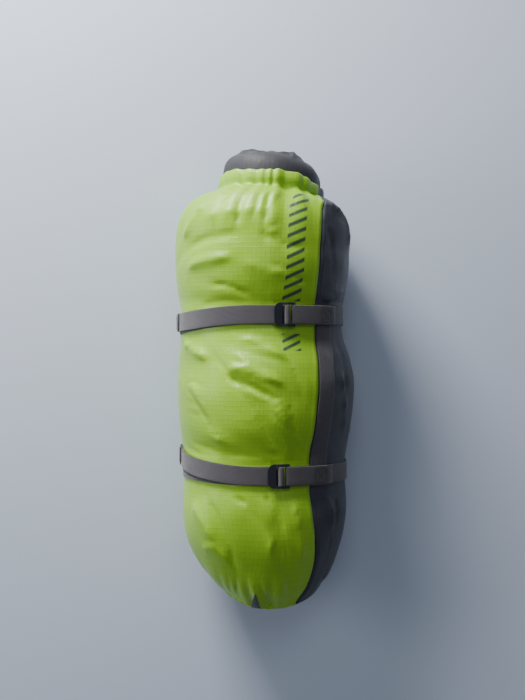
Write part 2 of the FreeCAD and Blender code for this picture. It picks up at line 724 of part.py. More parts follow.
class Strap:
    """A strap's waist. Places along it are measured round the girth from the middle bar, in mm."""

    def __init__(self, y, pull, bar_angle, tail_end, tail_swing):
        self.y, self.pull, self.swing = y, pull, tail_swing
        self.girth = girth(y)
        self.angles = [bar_angle + 0.5 * step for step in range(-720, 721)]
        spots = [self.at(a, 0.0) for a in self.angles]
        self.places = [0.0]
        for a, b in zip(spots, spots[1:]):
            self.places.append(self.places[-1] + a.distanceToPoint(b))
        self.places = [p - self.places[720] for p in self.places]
        self.girth_length = self.places[1440]
        self.hinge = -(size("front_pitch") + size("tab_reach") + 1.2)
        self.tail_place = self.place(tail_end)
        _, _, nx, nz = outline(self.girth, bar_angle)
        turn = Rotation(Vector(nz, 0, -nx), Vector(0, 1, 0), Vector(nx, 0, nz), "ZXY")
        self.frame = Placement(self.at(bar_angle, 0.0), turn)

    def at(self, angle, lift):
        side, high, nx, nz = outline(self.girth, angle)
        return Vector(self.girth["x"] + side + nx * lift, self.y, self.girth["z"] + high + nz * lift)

    def place(self, angle):
        """The place at an angle."""
        return self.lookup(self.angles, self.places, angle)

    def angle(self, place):
        """The angle at a place."""
        return self.lookup(self.places, self.angles, place)

    @staticmethod
    def lookup(xs, ys, x):
        i = max(1, next((k for k, value in enumerate(xs) if value > x), len(xs) - 1))
        return ys[i - 1] + (ys[i] - ys[i - 1]) * (x - xs[i - 1]) / (xs[i] - xs[i - 1])

    def point(self, place, lift):
        return self.at(self.angle(place), lift)

    def out(self, place):
        _, _, nx, nz = outline(self.girth, self.angle(place))
        return Vector(nx, 0, nz)

    def level(self, place):
        """Height of the sack's surface in the ladder lock's frame."""
        return self.frame.inverse().multVec(self.point(place, 0.0)).z

    def shift(self, place):
        """How far the strap is pulled along the sack."""
        turn = (self.angle(place) + 180) % 360 - 180
        if turn > 100:
            share = 0.7 * smooth((turn - 100) / 80)
        elif turn > -8:
            share = 0.0
        elif turn > -90:
            share = smooth((-8 - turn) / 82)
        else:
            share = 1.0 - 0.3 * (-90 - turn) / 90
        return -self.pull * share

    def tail_shift(self, place):
        """The free end lies along the strap and swings away from it."""
        share = (place - self.hinge) / (self.tail_place - self.hinge)
        return self.shift(place) + self.swing * max(0.0, share) ** 2

    def box(self):
        """First and last place of the box stitching."""
        first = self.place(self.girth["seam"]) + 2.5
        return first, first + size("box_length")

    def webbing_rise(self, place):
        """1 over the seam webbing and 0 away from it."""
        first = self.place(self.girth["seam"])
        into = smooth((place - first + 7) / 5)
        return into * (1 - smooth((place - first - WEB_WIDE - 2) / 7))


def ribbon(middle, ways, shifts, wide, thick):
    """Webbing along a line of points. ways are its thick direction, and shifts move it along Y."""
    marks = [0.0]
    for a, b in zip(middle, middle[1:]):
        marks.append(marks[-1] + a.distanceToPoint(b))

    def edge(side, way):
        curve = Part.BSplineCurve()
        curve.interpolate(Points=[p + n * (side * thick / 2) + Vector(0, s + way * wide / 2, 0)
                                  for p, n, s in zip(middle, ways, shifts)], Parameters=marks)
        return curve.toShape()

    edges = {(side, way): edge(side, way) for side in (-1, 1) for way in (-1, 1)}
    faces = [Part.makeRuledSurface(edges[1, -1], edges[1, 1]),
             Part.makeRuledSurface(edges[-1, -1], edges[-1, 1]),
             Part.makeRuledSurface(edges[1, -1], edges[-1, -1]),
             Part.makeRuledSurface(edges[1, 1], edges[-1, 1])]
    for end in (0, -1):
        corners = [middle[end] + ways[end] * (side * thick / 2)
                   + Vector(0, shifts[end] + way * wide / 2, 0)
                   for side, way in ((1, -1), (1, 1), (-1, 1), (-1, -1))]
        faces.append(Part.Face(Part.makePolygon(corners + corners[:1])))
    return sewn(faces)


def strap_lift(strap, place, upper):
    """Height of the webbing's middle over the sack."""
    rise = (LAYER + GAP) * strap.webbing_rise(place)
    if not upper:
        return LIE + rise
    first = strap.box()[0]
    bar = size("anchor_pitch")
    stacked = LIE + LAYER + GAP + LAYER
    if place < first:
        return LIE + 2 * HUG + (stacked - LIE - 2 * HUG) * smooth((place - bar) / (first - bar))
    off = smooth((place - strap.box()[1] - 3) / 12)
    return LIE + (LAYER + rise) * (1 - off) + rise * off


def strap_line(strap):
    """Middle points, thick directions and places of the strap, from its short leg round the bar."""
    bar = size("anchor_pitch")
    end = strap.box()[1] + 2
    points, ways, places = [], [], []
    for place in spread(end, bar + 1.5, 16):
        points.append(strap.point(place, strap_lift(strap, place, False)))
        ways.append(strap.out(place) * -1)
        places.append(place)
    centre, out = strap.point(bar, LIE + HUG), strap.out(bar)
    along = out.cross(Vector(0, -1, 0))
    for turn in spread(-90, -270, 8):
        a = math.radians(turn)
        spoke = along * math.cos(a) + out * math.sin(a)
        points.append(centre + spoke * HUG)
        ways.append(spoke)
        places.append(bar)
    for place in spread(bar + 2.0, end + 16, 18) + spread(end + 24, strap.girth_length + 0.8, 54):
        points.append(strap.point(place, strap_lift(strap, place, True)))
        ways.append(strap.out(place))
        places.append(place)
    return points, ways, places


def wrap_line(strap, centre_up):
    """The strap's turn over the middle bar."""
    points, ways = [], []
    for turn in spread(-48, 228, 14):
        a = math.radians(turn)
        spoke = Vector(math.cos(a), 0, math.sin(a))
        points.append(strap.frame.multVec(spoke * HUG + Vector(0, 0, centre_up)))
        ways.append(strap.frame.Rotation.multVec(spoke))
    return points, ways


def tail_line(strap):
    """The free end: round the left side, then folded back on itself."""
    lift, fold = LIE + LAYER, LAYER / 2
    last = strap.tail_place
    points, ways, places = [], [], []
    for place in spread(strap.hinge, last, 30):
        points.append(strap.point(place, lift))
        ways.append(strap.out(place))
        places.append(place)
    centre, out = strap.point(last - 0.4, lift + fold), strap.out(last)
    along = out.cross(Vector(0, -1, 0))
    for turn in spread(-105, -255, 6):
        a = math.radians(turn)
        spoke = along * math.cos(a) + out * math.sin(a)
        points.append(centre + spoke * fold)
        ways.append(spoke * -1)
        places.append(last)
    for place in spread(last + 1.2, last + size("tail_hem_length"), 6):
        points.append(strap.point(place, lift + LAYER))
        ways.append(strap.out(place) * -1)
        places.append(place)
    return points, ways, places


def stitches(ends):
    """Short runs of thread, each between two points."""
    thread = size("thread_radius")
    return Part.makeCompound([Part.makeCylinder(thread, a.distanceToPoint(b), a, b - a) for a, b in ends])


def stitch_row(place_at, first, last):
    """Ends of the stitches on a straight row. first and last are (place, across) pairs."""
    long = math.hypot(last[0] - first[0], last[1] - first[1])
    step = size("stitch_length") + 0.9
    count = max(1, int((long - size("stitch_length")) / step) + 1)
    start = (long - count * step + 0.9) / 2
    row = []
    for i in range(count):
        ends = []
        for run in (start + i * step, start + i * step + size("stitch_length")):
            share = run / long
            ends.append(place_at(first[0] + (last[0] - first[0]) * share,
                                 first[1] + (last[1] - first[1]) * share))
        row.append(ends)
    return row


def make_box_stitching(name, strap):
    """A box with a cross in it, sewn through both legs of the strap."""
    first, last = strap.box()
    half = WEB_WIDE / 2 - 2.2
    top = WEB / 2 + size("thread_radius") + 0.08

    def place_at(place, across):
        return strap.point(place, strap_lift(strap, place, True) + top) + Vector(0, across, 0)

    corners = ((first, -half), (last, -half), (last, half), (first, half))
    rows = [stitch_row(place_at, a, b) for a, b in zip(corners, corners[1:] + corners[:1])]
    inside = 2.0
    for way in (-1, 1):
        rows.append(stitch_row(place_at, (first + inside, -way * (half - inside)),
                               (last - inside, way * (half - inside))))
    middle = (first + last) / 2
    ends = [pair for row in rows[:5] for pair in row]
    for pair in rows[5]:
        centre = (pair[0] + pair[1]) / 2
        if centre.distanceToPoint(place_at(middle, 0.0)) > 1.8:
            ends.append(pair)
    named(free_shape(name + "_box_threads", stitches(ends)), name + "_box_stitching")


def make_tail_stitching(name, strap):
    """Two rows across the fold at the free end."""
    half = WEB_WIDE / 2 - 1.5
    top = LIE + 2 * LAYER + WEB / 2 + size("thread_radius") + 0.08
    rows = []
    for inset in (3.5, 7.5):
        place = strap.tail_place + inset

        def place_at(where, across):
            return strap.point(where, top) + Vector(0, strap.tail_shift(where) + across, 0)

        rows += stitch_row(place_at, (place, -half), (place, half))
    named(free_shape(name + "_tail_threads", stitches(rows)), name + "_tail_stitching")


def make_strap(name, share, pull, bar_angle, tail_end, tail_swing):
    """One strap, its ladder lock, its free end and its stitching."""
    strap = Strap(share * LENGTH, pull, bar_angle, tail_end, tail_swing)
    bar, front = size("bar_radius"), -size("front_pitch")
    middle_up = WEB_GAP + WEB + GAP + HUG + WEB / 2
    anchor = strap.frame.inverse().multVec(strap.point(size("anchor_pitch"), LIE + HUG))
    front_up = strap.level(front) + LIE + LAYER + WEB / 2 + GAP + bar

    points, ways, places = strap_line(strap)
    shifts = [strap.shift(place) for place in places]
    shape = ribbon(points, ways, shifts, WEB_WIDE, WEB)
    named(free_shape(name + "_strap_webbing", shape), name + "_strap")

    points, ways = wrap_line(strap, middle_up)
    shape = ribbon(points, ways, [0.0] * len(points), WEB_WIDE, WEB)
    named(free_shape(name + "_wrap_webbing", shape), name + "_strap_wrap")

    root = spread(front, strap.hinge + 0.8, 6)
    shape = ribbon([strap.point(p, LIE + LAYER) for p in root], [strap.out(p) for p in root],
                   [0.0] * 6, WEB_WIDE, WEB)
    named(free_shape(name + "_root_webbing", shape), name + "_tail_root")

    points, ways, places = tail_line(strap)
    shifts = [strap.tail_shift(place) for place in places]
    shape = ribbon(points, ways, shifts, WEB_WIDE, WEB)
    named(free_shape(name + "_tail_webbing", shape), name + "_tail")

    make_box_stitching(name, strap)
    make_tail_stitching(name, strap)
    make_ladder_lock(name, strap, anchor, middle_up, front_up)
    return strap


def make_ladder_lock(name, strap, anchor, middle_up, front_up):
    """Moulded frame with two side rails, three bars and a lifting tab."""
    bar, front = size("bar_radius"), -size("front_pitch")
    tip, thick = front - size("tab_reach"), size("tab_thick")
    wall = bar + 0.3
    body = new_body(name + "_lock_frame", strap.frame)
    sketch = new_sketch(body, "XZ_Plane", name + "_lock_side")
    draw(sketch, polygon((
        (anchor.x - 0.6, anchor.z - wall), (anchor.x + 0.9, anchor.z - wall),
        (anchor.x + wall, anchor.z - 0.8), (anchor.x + wall, anchor.z + 0.8),
        (anchor.x + 0.8, anchor.z + wall), (0, middle_up + wall), (front, front_up + bar),
        (tip, front_up + bar + 0.9), (tip, front_up + bar + 0.9 - thick),
        (front - 1.8, front_up - bar + 0.3), (front, front_up - bar), (0, middle_up - wall))))
    wide = "sizes.webbing_width + 2 * sizes.rail_gap + 2 * sizes.rail_width"
    block = pad(body, sketch, name + "_lock_block", wide, True)
    DOC.recompute()
    window = new_sketch(body, "XZ_Plane", name + "_lock_window")
    draw(window, polygon(((front, -8), (anchor.x + 8, -8), (anchor.x + 8, 18), (front, 18))))
    cut = body.newObject("PartDesign::Pocket", name + "_lock_opening")
    cut.Profile = window
    cut.Midplane = True
    cut.setExpression("Length", "sizes.webbing_width + 2 * sizes.rail_gap")
    DOC.recompute()
    if cut.Shape.Volume > 0.8 * block.Shape.Volume:
        raise RuntimeError(name + " ladder lock has no opening")
    bars = new_sketch(body, "XZ_Plane", name + "_lock_bars")
    for i, (x, z) in enumerate(((anchor.x, anchor.z), (0.0, middle_up), (front, front_up))):
        bars.addGeometry(Part.Circle(Vector(x, z, 0), Vector(0, 0, 1), bar), False)
        bars.addConstraint(Sketcher.Constraint("Radius", i, bar))
        bars.renameConstraint(i, "bar%d" % i)
        bars.setExpression("Constraints.bar%d" % i, "sizes.bar_radius")
    rods = pad(body, bars, name + "_lock_rods", "sizes.webbing_width + 2 * sizes.rail_gap + 1", True)
    DOC.recompute()
    half = WEB_WIDE / 2 + size("rail_gap") + size("rail_width")

    def at_tip(edge):
        middle = edge.CenterOfMass
        upright_edge = abs(edge.Vertexes[0].Z - edge.Vertexes[-1].Z) > 0.5 * thick
        return upright_edge and abs(middle.x - tip) < 0.01 and abs(abs(middle.y) - half) < 0.01

    rounded = soften(body, rods, name + "_lock_corners", 7.4, at_tip)

    def on_top(edge):
        ends = [edge.Vertexes[0].Point, edge.Vertexes[-1].Point]
        outside = all(abs(abs(p.y) - half) < 0.01 for p in ends)
        return outside and all(p.z > middle_up + 1.2 for p in ends) and edge.Length > 3

    soften(body, rounded, name + "_lock_edges", 0.5, on_top)
    named(body, name + "_ladder_lock")


# ---------------------------------------------------------------- build, check and write


def check_and_write():
    DOC.recompute()
    for thing in DOC.Objects:
        if "Invalid" in thing.State or "Error" in thing.State:
            raise RuntimeError("%s is %s" % (thing.Name, thing.State))
    os.makedirs("parts", exist_ok=True)
    for thing in PARTS:
        shape = thing.Shape
        if shape.isNull() or not shape.isValid() or not shape.Solids:
            raise RuntimeError(thing.Label + " is not a sound solid")
        shape.exportStep("parts/%s.step" % thing.Label)
        box = shape.BoundBox
        print("%-20s %2d solid %10.1f mm3  x %7.1f %7.1f  y %7.1f %7.1f  z %6.1f %6.1f" % (
            thing.Label, len(shape.Solids), shape.Volume, box.XMin, box.XMax,
            box.YMin, box.YMax, box.ZMin, box.ZMax))


make_panels()
make_seam_tapes()
make_load()
make_base()
make_mouth()
make_cord_lock()
make_flap()
make_seam_webbing()
for row in STRAPS:
    make_strap(*row)
check_and_write()
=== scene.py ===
# %% [markdown]
# # A packed compression sack
# The sack is a sewn ripstop shell, packed hard and pulled in by two webbing straps. Its hard pieces,
# the ladder locks and the cord lock, come from the CAD model as they are. Everything soft is made
# here, in the place that the CAD model gives it: the shell, the webbing, the gathered mouth, the
# dust flap and the base. All lengths are worked out in millimetres and turned into metres once.

# %% Load the CAD frame
import bpy
import math
import numpy as np
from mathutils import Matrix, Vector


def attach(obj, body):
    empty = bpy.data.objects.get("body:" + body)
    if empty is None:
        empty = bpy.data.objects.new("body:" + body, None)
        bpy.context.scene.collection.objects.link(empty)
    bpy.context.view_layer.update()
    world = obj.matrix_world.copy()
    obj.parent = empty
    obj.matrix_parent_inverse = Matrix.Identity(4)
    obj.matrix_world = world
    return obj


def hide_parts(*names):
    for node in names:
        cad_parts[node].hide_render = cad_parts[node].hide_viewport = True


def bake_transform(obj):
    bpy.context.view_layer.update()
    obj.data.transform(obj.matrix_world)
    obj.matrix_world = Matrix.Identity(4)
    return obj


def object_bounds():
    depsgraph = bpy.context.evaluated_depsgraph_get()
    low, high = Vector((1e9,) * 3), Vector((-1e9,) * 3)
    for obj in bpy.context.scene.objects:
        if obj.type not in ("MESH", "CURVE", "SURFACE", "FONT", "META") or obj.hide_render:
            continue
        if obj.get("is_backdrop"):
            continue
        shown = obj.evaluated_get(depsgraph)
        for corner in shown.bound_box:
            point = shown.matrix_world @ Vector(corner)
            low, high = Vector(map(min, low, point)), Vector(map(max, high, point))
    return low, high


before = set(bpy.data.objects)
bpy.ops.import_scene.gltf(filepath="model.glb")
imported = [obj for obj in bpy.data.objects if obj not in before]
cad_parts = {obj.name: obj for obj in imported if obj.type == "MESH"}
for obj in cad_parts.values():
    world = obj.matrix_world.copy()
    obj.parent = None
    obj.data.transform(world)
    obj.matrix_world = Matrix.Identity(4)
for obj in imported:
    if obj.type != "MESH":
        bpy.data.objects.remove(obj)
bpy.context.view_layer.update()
rng = np.random.default_rng(7)

# %% [markdown]
# The camera hangs straight over the sack with the mouth at the top of the frame. A long lens from
# 1.3 m keeps the ends from spreading. It could look at an empty target, but a camera without any
# rotation already looks straight down.

# %% Camera
camera_data = bpy.data.cameras.new("overhead_camera")
camera_data.lens = 56.5
camera_data.sensor_width = 36.0
camera = bpy.data.objects.new("overhead_camera", camera_data)
camera.location = (-0.002, 0.033, 1.30)
bpy.context.scene.collection.objects.link(camera)
bpy.context.scene.camera = camera
print("camera height", camera.location.z)

# %% [markdown]
# Light comes from a wide window beyond the mouth and a little to the left, so the folds across the
# sack catch it and the base end falls off into shade. Three area lamps and a pale world do that:
# the window, a weak overhead fill, and a low one from the left for the bright rim on that side.

# %% Floor and light
def lamp(name, place, target, size, power, colour):
    """An area lamp at a place, facing a target."""
    data = bpy.data.lights.new(name, "AREA")
    data.shape, data.size, data.energy, data.color = "SQUARE", size, power, colour
    thing = bpy.data.objects.new(name, data)
    way = np.array(target) - np.array(place)
    across = math.hypot(way[0], way[1])
    thing.rotation_euler = (math.atan2(across, -way[2]), 0, math.atan2(way[1], way[0]) - math.pi / 2)
    thing.location = place
    bpy.context.scene.collection.objects.link(thing)
    return thing


lamp("window", (-0.5, 1.1, 0.5), (0, 0.0, 0.08), 0.5, 34.0, (1.0, 0.99, 0.97))
lamp("overhead_fill", (0.1, 0.9, 1.8), (0, 0.2, 0), 0.9, 5.5, (0.9, 0.95, 1.0))
lamp("left_rim", (-1.3, 0.15, 0.55), (0, 0, 0.08), 0.6, 7.0, (0.96, 0.98, 1.0))

world = bpy.data.worlds.new("pale_room")
world.use_nodes = True
world.node_tree.nodes["Background"].inputs["Color"].default_value = (0.72, 0.8, 0.95, 1)
world.node_tree.nodes["Background"].inputs["Strength"].default_value = 0.2
bpy.context.scene.world = world


# %% [markdown]
# Every finish starts as a Principled shader. The helpers below only save typing: one adds a node and
# fills its sockets, the others wrap the few steps that all the fabrics share. Sizes in the patterns
# are in millimetres, because each fabric piece carries a UV map whose unit is 100 mm of cloth.

# %% Material helpers
def start_finish(name, roughness, sheen=0.0, coat=0.0, metal=0.0):
    """A material with a Principled shader whose even values are set on its own sockets."""
    material = bpy.data.materials.new(name)
    material.use_nodes = True
    shader = material.node_tree.nodes["Principled BSDF"]
    shader.inputs["Roughness"].default_value = roughness
    shader.inputs["Sheen Weight"].default_value = sheen
    shader.inputs["Coat Weight"].default_value = coat
    shader.inputs["Metallic"].default_value = metal
    return material, material.node_tree, shader


def add(tree, kind, *sources, **settings):
    """A node whose first sockets take the sources: other sockets, or plain numbers."""
    made = tree.nodes.new(kind)
    for name, value in settings.items():
        setattr(made, name, value)
    for i, source in enumerate(sources):
        if isinstance(source, bpy.types.NodeSocket):
            tree.links.new(source, made.inputs[i])
        elif source is not None:
            made.inputs[i].default_value = source
    return made


def math_of(tree, operation, *sources):
    """One step of arithmetic on sockets or plain numbers."""
    return add(tree, "ShaderNodeMath", *sources, operation=operation).outputs[0]


def times(tree, first, second):
    """first * second, each a socket or a number."""
    return math_of(tree, "MULTIPLY", first, second)


def plus(tree, first, second):
    """first + second, each a socket or a number."""
    return math_of(tree, "ADD", first, second)


def blend_colours(tree, share, first, second):
    """first where share is 0 and second where it is 1. Each is a colour or a socket."""
    made = tree.nodes.new("ShaderNodeMix")
    made.data_type = "RGBA"
    for socket, value in ((made.inputs[0], share), (made.inputs[6], first), (made.inputs[7], second)):
        if isinstance(value, bpy.types.NodeSocket):
            tree.links.new(value, socket)
        else:
            socket.default_value = value if isinstance(value, float) else (*value, 1.0)
    return made.outputs[2]


def cloth_axes(tree):
    """The cloth's own two directions in millimetres, from its UV map."""
    uv = add(tree, "ShaderNodeTexCoord").outputs["UV"]
    split = add(tree, "ShaderNodeSeparateXYZ", uv)
    return [times(tree, split.outputs[i], 100.0) for i in (0, 1)]


def ribs(tree, axis, pitch, share):
    """1 on lines a pitch apart, each covering a share of it, and 0 between them."""
    phase = math_of(tree, "FRACT", math_of(tree, "DIVIDE", axis, pitch))
    off = math_of(tree, "ABSOLUTE", math_of(tree, "SUBTRACT", phase, 0.5))
    made = add(tree, "ShaderNodeMapRange", off, 0.5 - share, 0.5 - share * 0.4, 0.0, 1.0)
    return made.outputs[0]


def window_on(tree, axis, low, high, soft=0.25):
    """1 between two places along an axis."""
    up = add(tree, "ShaderNodeMapRange", axis, low - soft, low + soft, 0.0, 1.0).outputs[0]
    down = add(tree, "ShaderNodeMapRange", axis, high - soft, high + soft, 1.0, 0.0).outputs[0]
    return times(tree, up, down)


def mottle(tree, scale, detail=4.0):
    """Cloudy variation in the object's own space; scale is per metre."""
    place = add(tree, "ShaderNodeTexCoord").outputs["Object"]
    made = add(tree, "ShaderNodeTexNoise", place)
    made.inputs["Scale"].default_value = scale
    made.inputs["Detail"].default_value = detail
    return made.outputs["Fac"]


def roughen(tree, shader, height, distance, strength=1.0):
    """Bump from a height, distance in millimetres."""
    bump = tree.nodes.new("ShaderNodeBump")
    bump.inputs["Distance"].default_value = distance * 0.001
    bump.inputs["Strength"].default_value = strength
    tree.links.new(height, bump.inputs["Height"])
    tree.links.new(bump.outputs["Normal"], shader.inputs["Normal"])


print("helpers ready")


# %% [markdown]
# Ripstop is a thin nylon whose weave has a thicker yarn every few millimetres, both ways. The grid
# is drawn on the cloth's own axes so that it bends with the folds. A soft sheen and a fairly low
# roughness give the dull shine of coated nylon. The shell's main panel also carries a printed
# decoration beside the seam: plain slanted bars. The dust flap's cloth is darker and duller.

# %% Ripstop and print
def crinkle(tree):
    """Fine crushed creases, longer along the sack than round it, in the object's own space."""
    place = add(tree, "ShaderNodeTexCoord").outputs["Object"]
    mapping = add(tree, "ShaderNodeMapping", place)
    mapping.inputs["Scale"].default_value = (1.0, 0.35, 1.0)
    made = add(tree, "ShaderNodeTexNoise", mapping.outputs[0], noise_type="RIDGED_MULTIFRACTAL")
    made.inputs["Scale"].default_value = 95.0
    made.inputs["Detail"].default_value = 3.0
    return times(tree, made.outputs["Fac"], 0.5)


def slanted_bars(tree, across, along):
    """A long run of printed bars in a column, and a short run below it."""
    slant = plus(tree, along, times(tree, across, 0.45))
    runs = []
    for pitch, share, low, high in ((10.5, 0.29, 84.0, 196.0), (8.5, 0.3, 32.0, 50.0)):
        run = times(tree, window_on(tree, across, 20.0, 40.0), ribs(tree, slant, pitch, share))
        runs.append(times(tree, run, window_on(tree, along, low, high)))
    return times(tree, math_of(tree, "MAXIMUM", *runs), 0.92)


def ripstop(name, pale, deep, roughness=0.36, coat=0.12, ink=None):
    """A fine weave under a thicker grid, with stitches beside a seam, creases and maybe a print."""
    material, tree, shader = start_finish(name, roughness, sheen=0.06, coat=coat)
    shader.inputs["Coat Roughness"].default_value = 0.28
    shader.inputs["Sheen Roughness"].default_value = 0.4
    across, along = cloth_axes(tree)
    grid = math_of(tree, "MAXIMUM", ribs(tree, across, 4.8, 0.1), ribs(tree, along, 4.8, 0.1))
    colour = blend_colours(tree, mottle(tree, 14.0), deep, pale)
    shade = tuple(0.62 * v for v in deep)
    worn = times(tree, mottle(tree, 34.0), 0.32)
    colour = blend_colours(tree, times(tree, grid, worn), colour, shade)
    stitch = times(tree, window_on(tree, across, 3.0, 3.6, 0.15), ribs(tree, along, 2.9, 0.33))
    sewn = tuple(0.3 * v for v in deep)
    colour = blend_colours(tree, times(tree, stitch, 0.8), colour, sewn)
    if ink:
        colour = blend_colours(tree, slanted_bars(tree, across, along), colour, ink)
    tree.links.new(colour, shader.inputs["Base Color"])
    fine = plus(tree, ribs(tree, across, 0.7, 0.25), ribs(tree, along, 0.7, 0.25))
    height = plus(tree, times(tree, fine, 0.2), times(tree, grid, 0.6))
    height = plus(tree, height, times(tree, crinkle(tree), 4.5))
    roughen(tree, shader, height, 0.14)
    return material


lime = ripstop("lime_ripstop", (0.37, 0.66, 0.012), (0.20, 0.42, 0.006), ink=(0.016, 0.034, 0.038))
slate = ripstop("slate_ripstop", (0.052, 0.053, 0.066), (0.027, 0.028, 0.038), 0.5, 0.04)
flap_cloth = ripstop("flap_ripstop", (0.034, 0.034, 0.039), (0.019, 0.019, 0.023), 0.6, 0.0)


# %% [markdown]
# Webbing is a thick plain weave. From above it shows short ribs across its width in staggered
# columns, and two firm edges. The grooves between the columns are darkened in the colour as painted
# shade. Binding tape and seam tape are thinner versions of the same weave.

# %% Webbing, thread and cord
def woven(name, pale, deep, rib, column, bump):
    """A ribbed weave: ribs along the piece, shifted by half a rib in every other column, with painted
    shade in the grooves between the columns.
    """
    material, tree, shader = start_finish(name, 0.72, sheen=0.35)
    across, along = cloth_axes(tree)
    odd = math_of(tree, "MODULO", math_of(tree, "FLOOR", math_of(tree, "DIVIDE", across, column)), 2.0)
    shifted = plus(tree, along, times(tree, odd, rib * 0.5))
    gap = ribs(tree, across, column, 0.12)
    height = math_of(tree, "SUBTRACT", ribs(tree, shifted, rib, 0.36), times(tree, gap, 0.7))
    colour = blend_colours(tree, mottle(tree, 55.0), deep, pale)
    # painted shade: the colour is darkened along the grooves between the rib columns
    shade = tuple(0.45 * v for v in deep)
    colour = blend_colours(tree, times(tree, gap, 0.5), colour, shade)
    tree.links.new(colour, shader.inputs["Base Color"])
    roughen(tree, shader, height, bump)
    return material


def even_finish(name, pale, deep, roughness, scale, bump, coat=0.0, metal=0.0, sheen=0.0):
    """A moulded, spun or drawn surface with a little cloudiness and grain, in object space."""
    material, tree, shader = start_finish(name, roughness, coat=coat, metal=metal, sheen=sheen)
    tree.links.new(blend_colours(tree, mottle(tree, scale), deep, pale), shader.inputs["Base Color"])
    roughen(tree, shader, mottle(tree, scale * 12.0, 3.0), bump)
    return material


strap_weave = woven("webbing_weave", (0.070, 0.060, 0.070), (0.036, 0.031, 0.040), 1.5, 1.25, 0.26)
tape_weave = woven("tape_weave", (0.05, 0.052, 0.07), (0.028, 0.03, 0.042), 0.9, 0.8, 0.1)
thread_finish = even_finish("thread", (0.022, 0.021, 0.024), (0.012, 0.012, 0.014),
                            0.8, 400.0, 0.05, sheen=0.2)
moulded = even_finish("moulded_acetal", (0.016, 0.018, 0.028), (0.009, 0.01, 0.016),
                      0.38, 90.0, 0.03, coat=0.12)
cord_finish = even_finish("braided_cord", (0.05, 0.055, 0.075), (0.02, 0.022, 0.03),
                          0.75, 700.0, 0.25, sheen=0.3)
bright_metal = even_finish("bright_metal", (0.62, 0.62, 0.64), (0.5, 0.5, 0.53),
                           0.3, 150.0, 0.02, metal=1.0)
stuffing_finish = ripstop("stuffed_goods", (0.24, 0.26, 0.30), (0.15, 0.165, 0.2))

floor_finish, tree, shader = start_finish("pale_floor", 0.6)
tree.links.new(blend_colours(tree, mottle(tree, 2.0), (0.50, 0.56, 0.68), (0.55, 0.61, 0.72)),
               shader.inputs["Base Color"])
roughen(tree, shader, mottle(tree, 60.0), 0.2, 0.3)
bpy.ops.mesh.primitive_plane_add(size=6.0, location=(0, 0, 0))
floor = bpy.context.object
floor.name = "pale_floor"
floor.data.materials.append(floor_finish)
floor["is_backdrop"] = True
print("materials:", len(bpy.data.materials))


# %% [markdown]
# The sack's shape is a row of girths, each a superellipse: a rounded outline that is flatter below,
# where it lies on the ground. The numbers are the CAD model's own. Places and reaches are shares of
# the sack's length, width and height, and angles are in degrees. Between two girths each number
# follows a cubic curve that never overshoots.

# %% The sack's girths
LENGTH, WIDTH, HEIGHT = 500.0, 191.0, 161.0
MOUTH = dict(y=0.418, x=0.037, z=0.509, lean=5.0, yaw=-5.0, seam=62.0, radius=54.0)
BASE = dict(y=-0.430, x=0.034, z=0.348, lean=-32.0, yaw=0.0, seam=28.0, radius=60.0)
FABRIC, GAP = 0.8, 0.3
# Place along, the middle's x and z, reach sideways, down and up, squareness, lean, yaw, seam.
GIRTHS = np.array((
    (0.400, 0.031, 0.503, 0.351, 0.397, 0.398, 2.1, 4.5, -4.5, 58.0),
    (0.386, 0.016, 0.484, 0.435, 0.447, 0.453, 2.3, 3.5, -3.0, 50.0),
    (0.364, 0.000, 0.466, 0.479, 0.460, 0.497, 2.6, 2.0, -1.5, 45.0),
    (0.332, -0.010, 0.460, 0.498, 0.4619, 0.528, 3.2, 1.0, 0.0, 43.0),
    (0.260, -0.016, 0.460, 0.500, 0.4619, 0.540, 3.4, 0.0, 0.0, 42.0),
    (0.200, -0.016, 0.460, 0.487, 0.4585, 0.522, 3.4, 0.0, 0.0, 42.0),
    (0.164, -0.016, 0.460, 0.466, 0.4470, 0.484, 3.2, 0.0, 0.0, 43.0),
    (0.092, -0.016, 0.460, 0.466, 0.4470, 0.484, 3.2, 0.0, 0.0, 43.0),
    (0.048, 0.000, 0.460, 0.487, 0.4600, 0.516, 3.4, 0.0, 0.0, 40.0),
    (-0.010, 0.015, 0.460, 0.500, 0.4619, 0.534, 3.4, 0.0, 0.0, 37.0),
    (-0.090, 0.005, 0.460, 0.484, 0.4600, 0.516, 3.4, 0.0, 0.0, 37.0),
    (-0.160, 0.003, 0.447, 0.4685, 0.4340, 0.472, 3.2, 0.0, 0.0, 36.0),
    (-0.228, 0.003, 0.447, 0.4685, 0.4340, 0.472, 3.2, 0.0, 0.0, 36.0),
    (-0.280, 0.003, 0.447, 0.471, 0.4475, 0.484, 3.2, 0.0, 0.0, 38.0),
    (-0.330, 0.000, 0.435, 0.461, 0.4360, 0.466, 3.0, -3.0, 0.0, 42.0),
    (-0.374, 0.005, 0.410, 0.429, 0.4020, 0.435, 2.6, -11.0, 0.0, 45.0),
    (-0.406, 0.021, 0.379, 0.377, 0.3840, 0.410, 2.2, -22.0, 0.0, 40.0)))


def lean_axes(lean, yaw):
    """Right, ahead and up of a girth, from its lean and yaw in degrees. Works on arrays."""
    lean, yaw = np.radians(lean), np.radians(yaw)
    nothing = np.zeros_like(lean)
    right = np.stack([np.cos(yaw), np.sin(yaw), nothing], -1)
    ahead = np.stack([-np.sin(yaw) * np.cos(lean), np.cos(yaw) * np.cos(lean), -np.sin(lean)], -1)
    up = np.stack([-np.sin(yaw) * np.sin(lean), np.cos(yaw) * np.sin(lean), np.cos(lean)], -1)
    return right, ahead, up


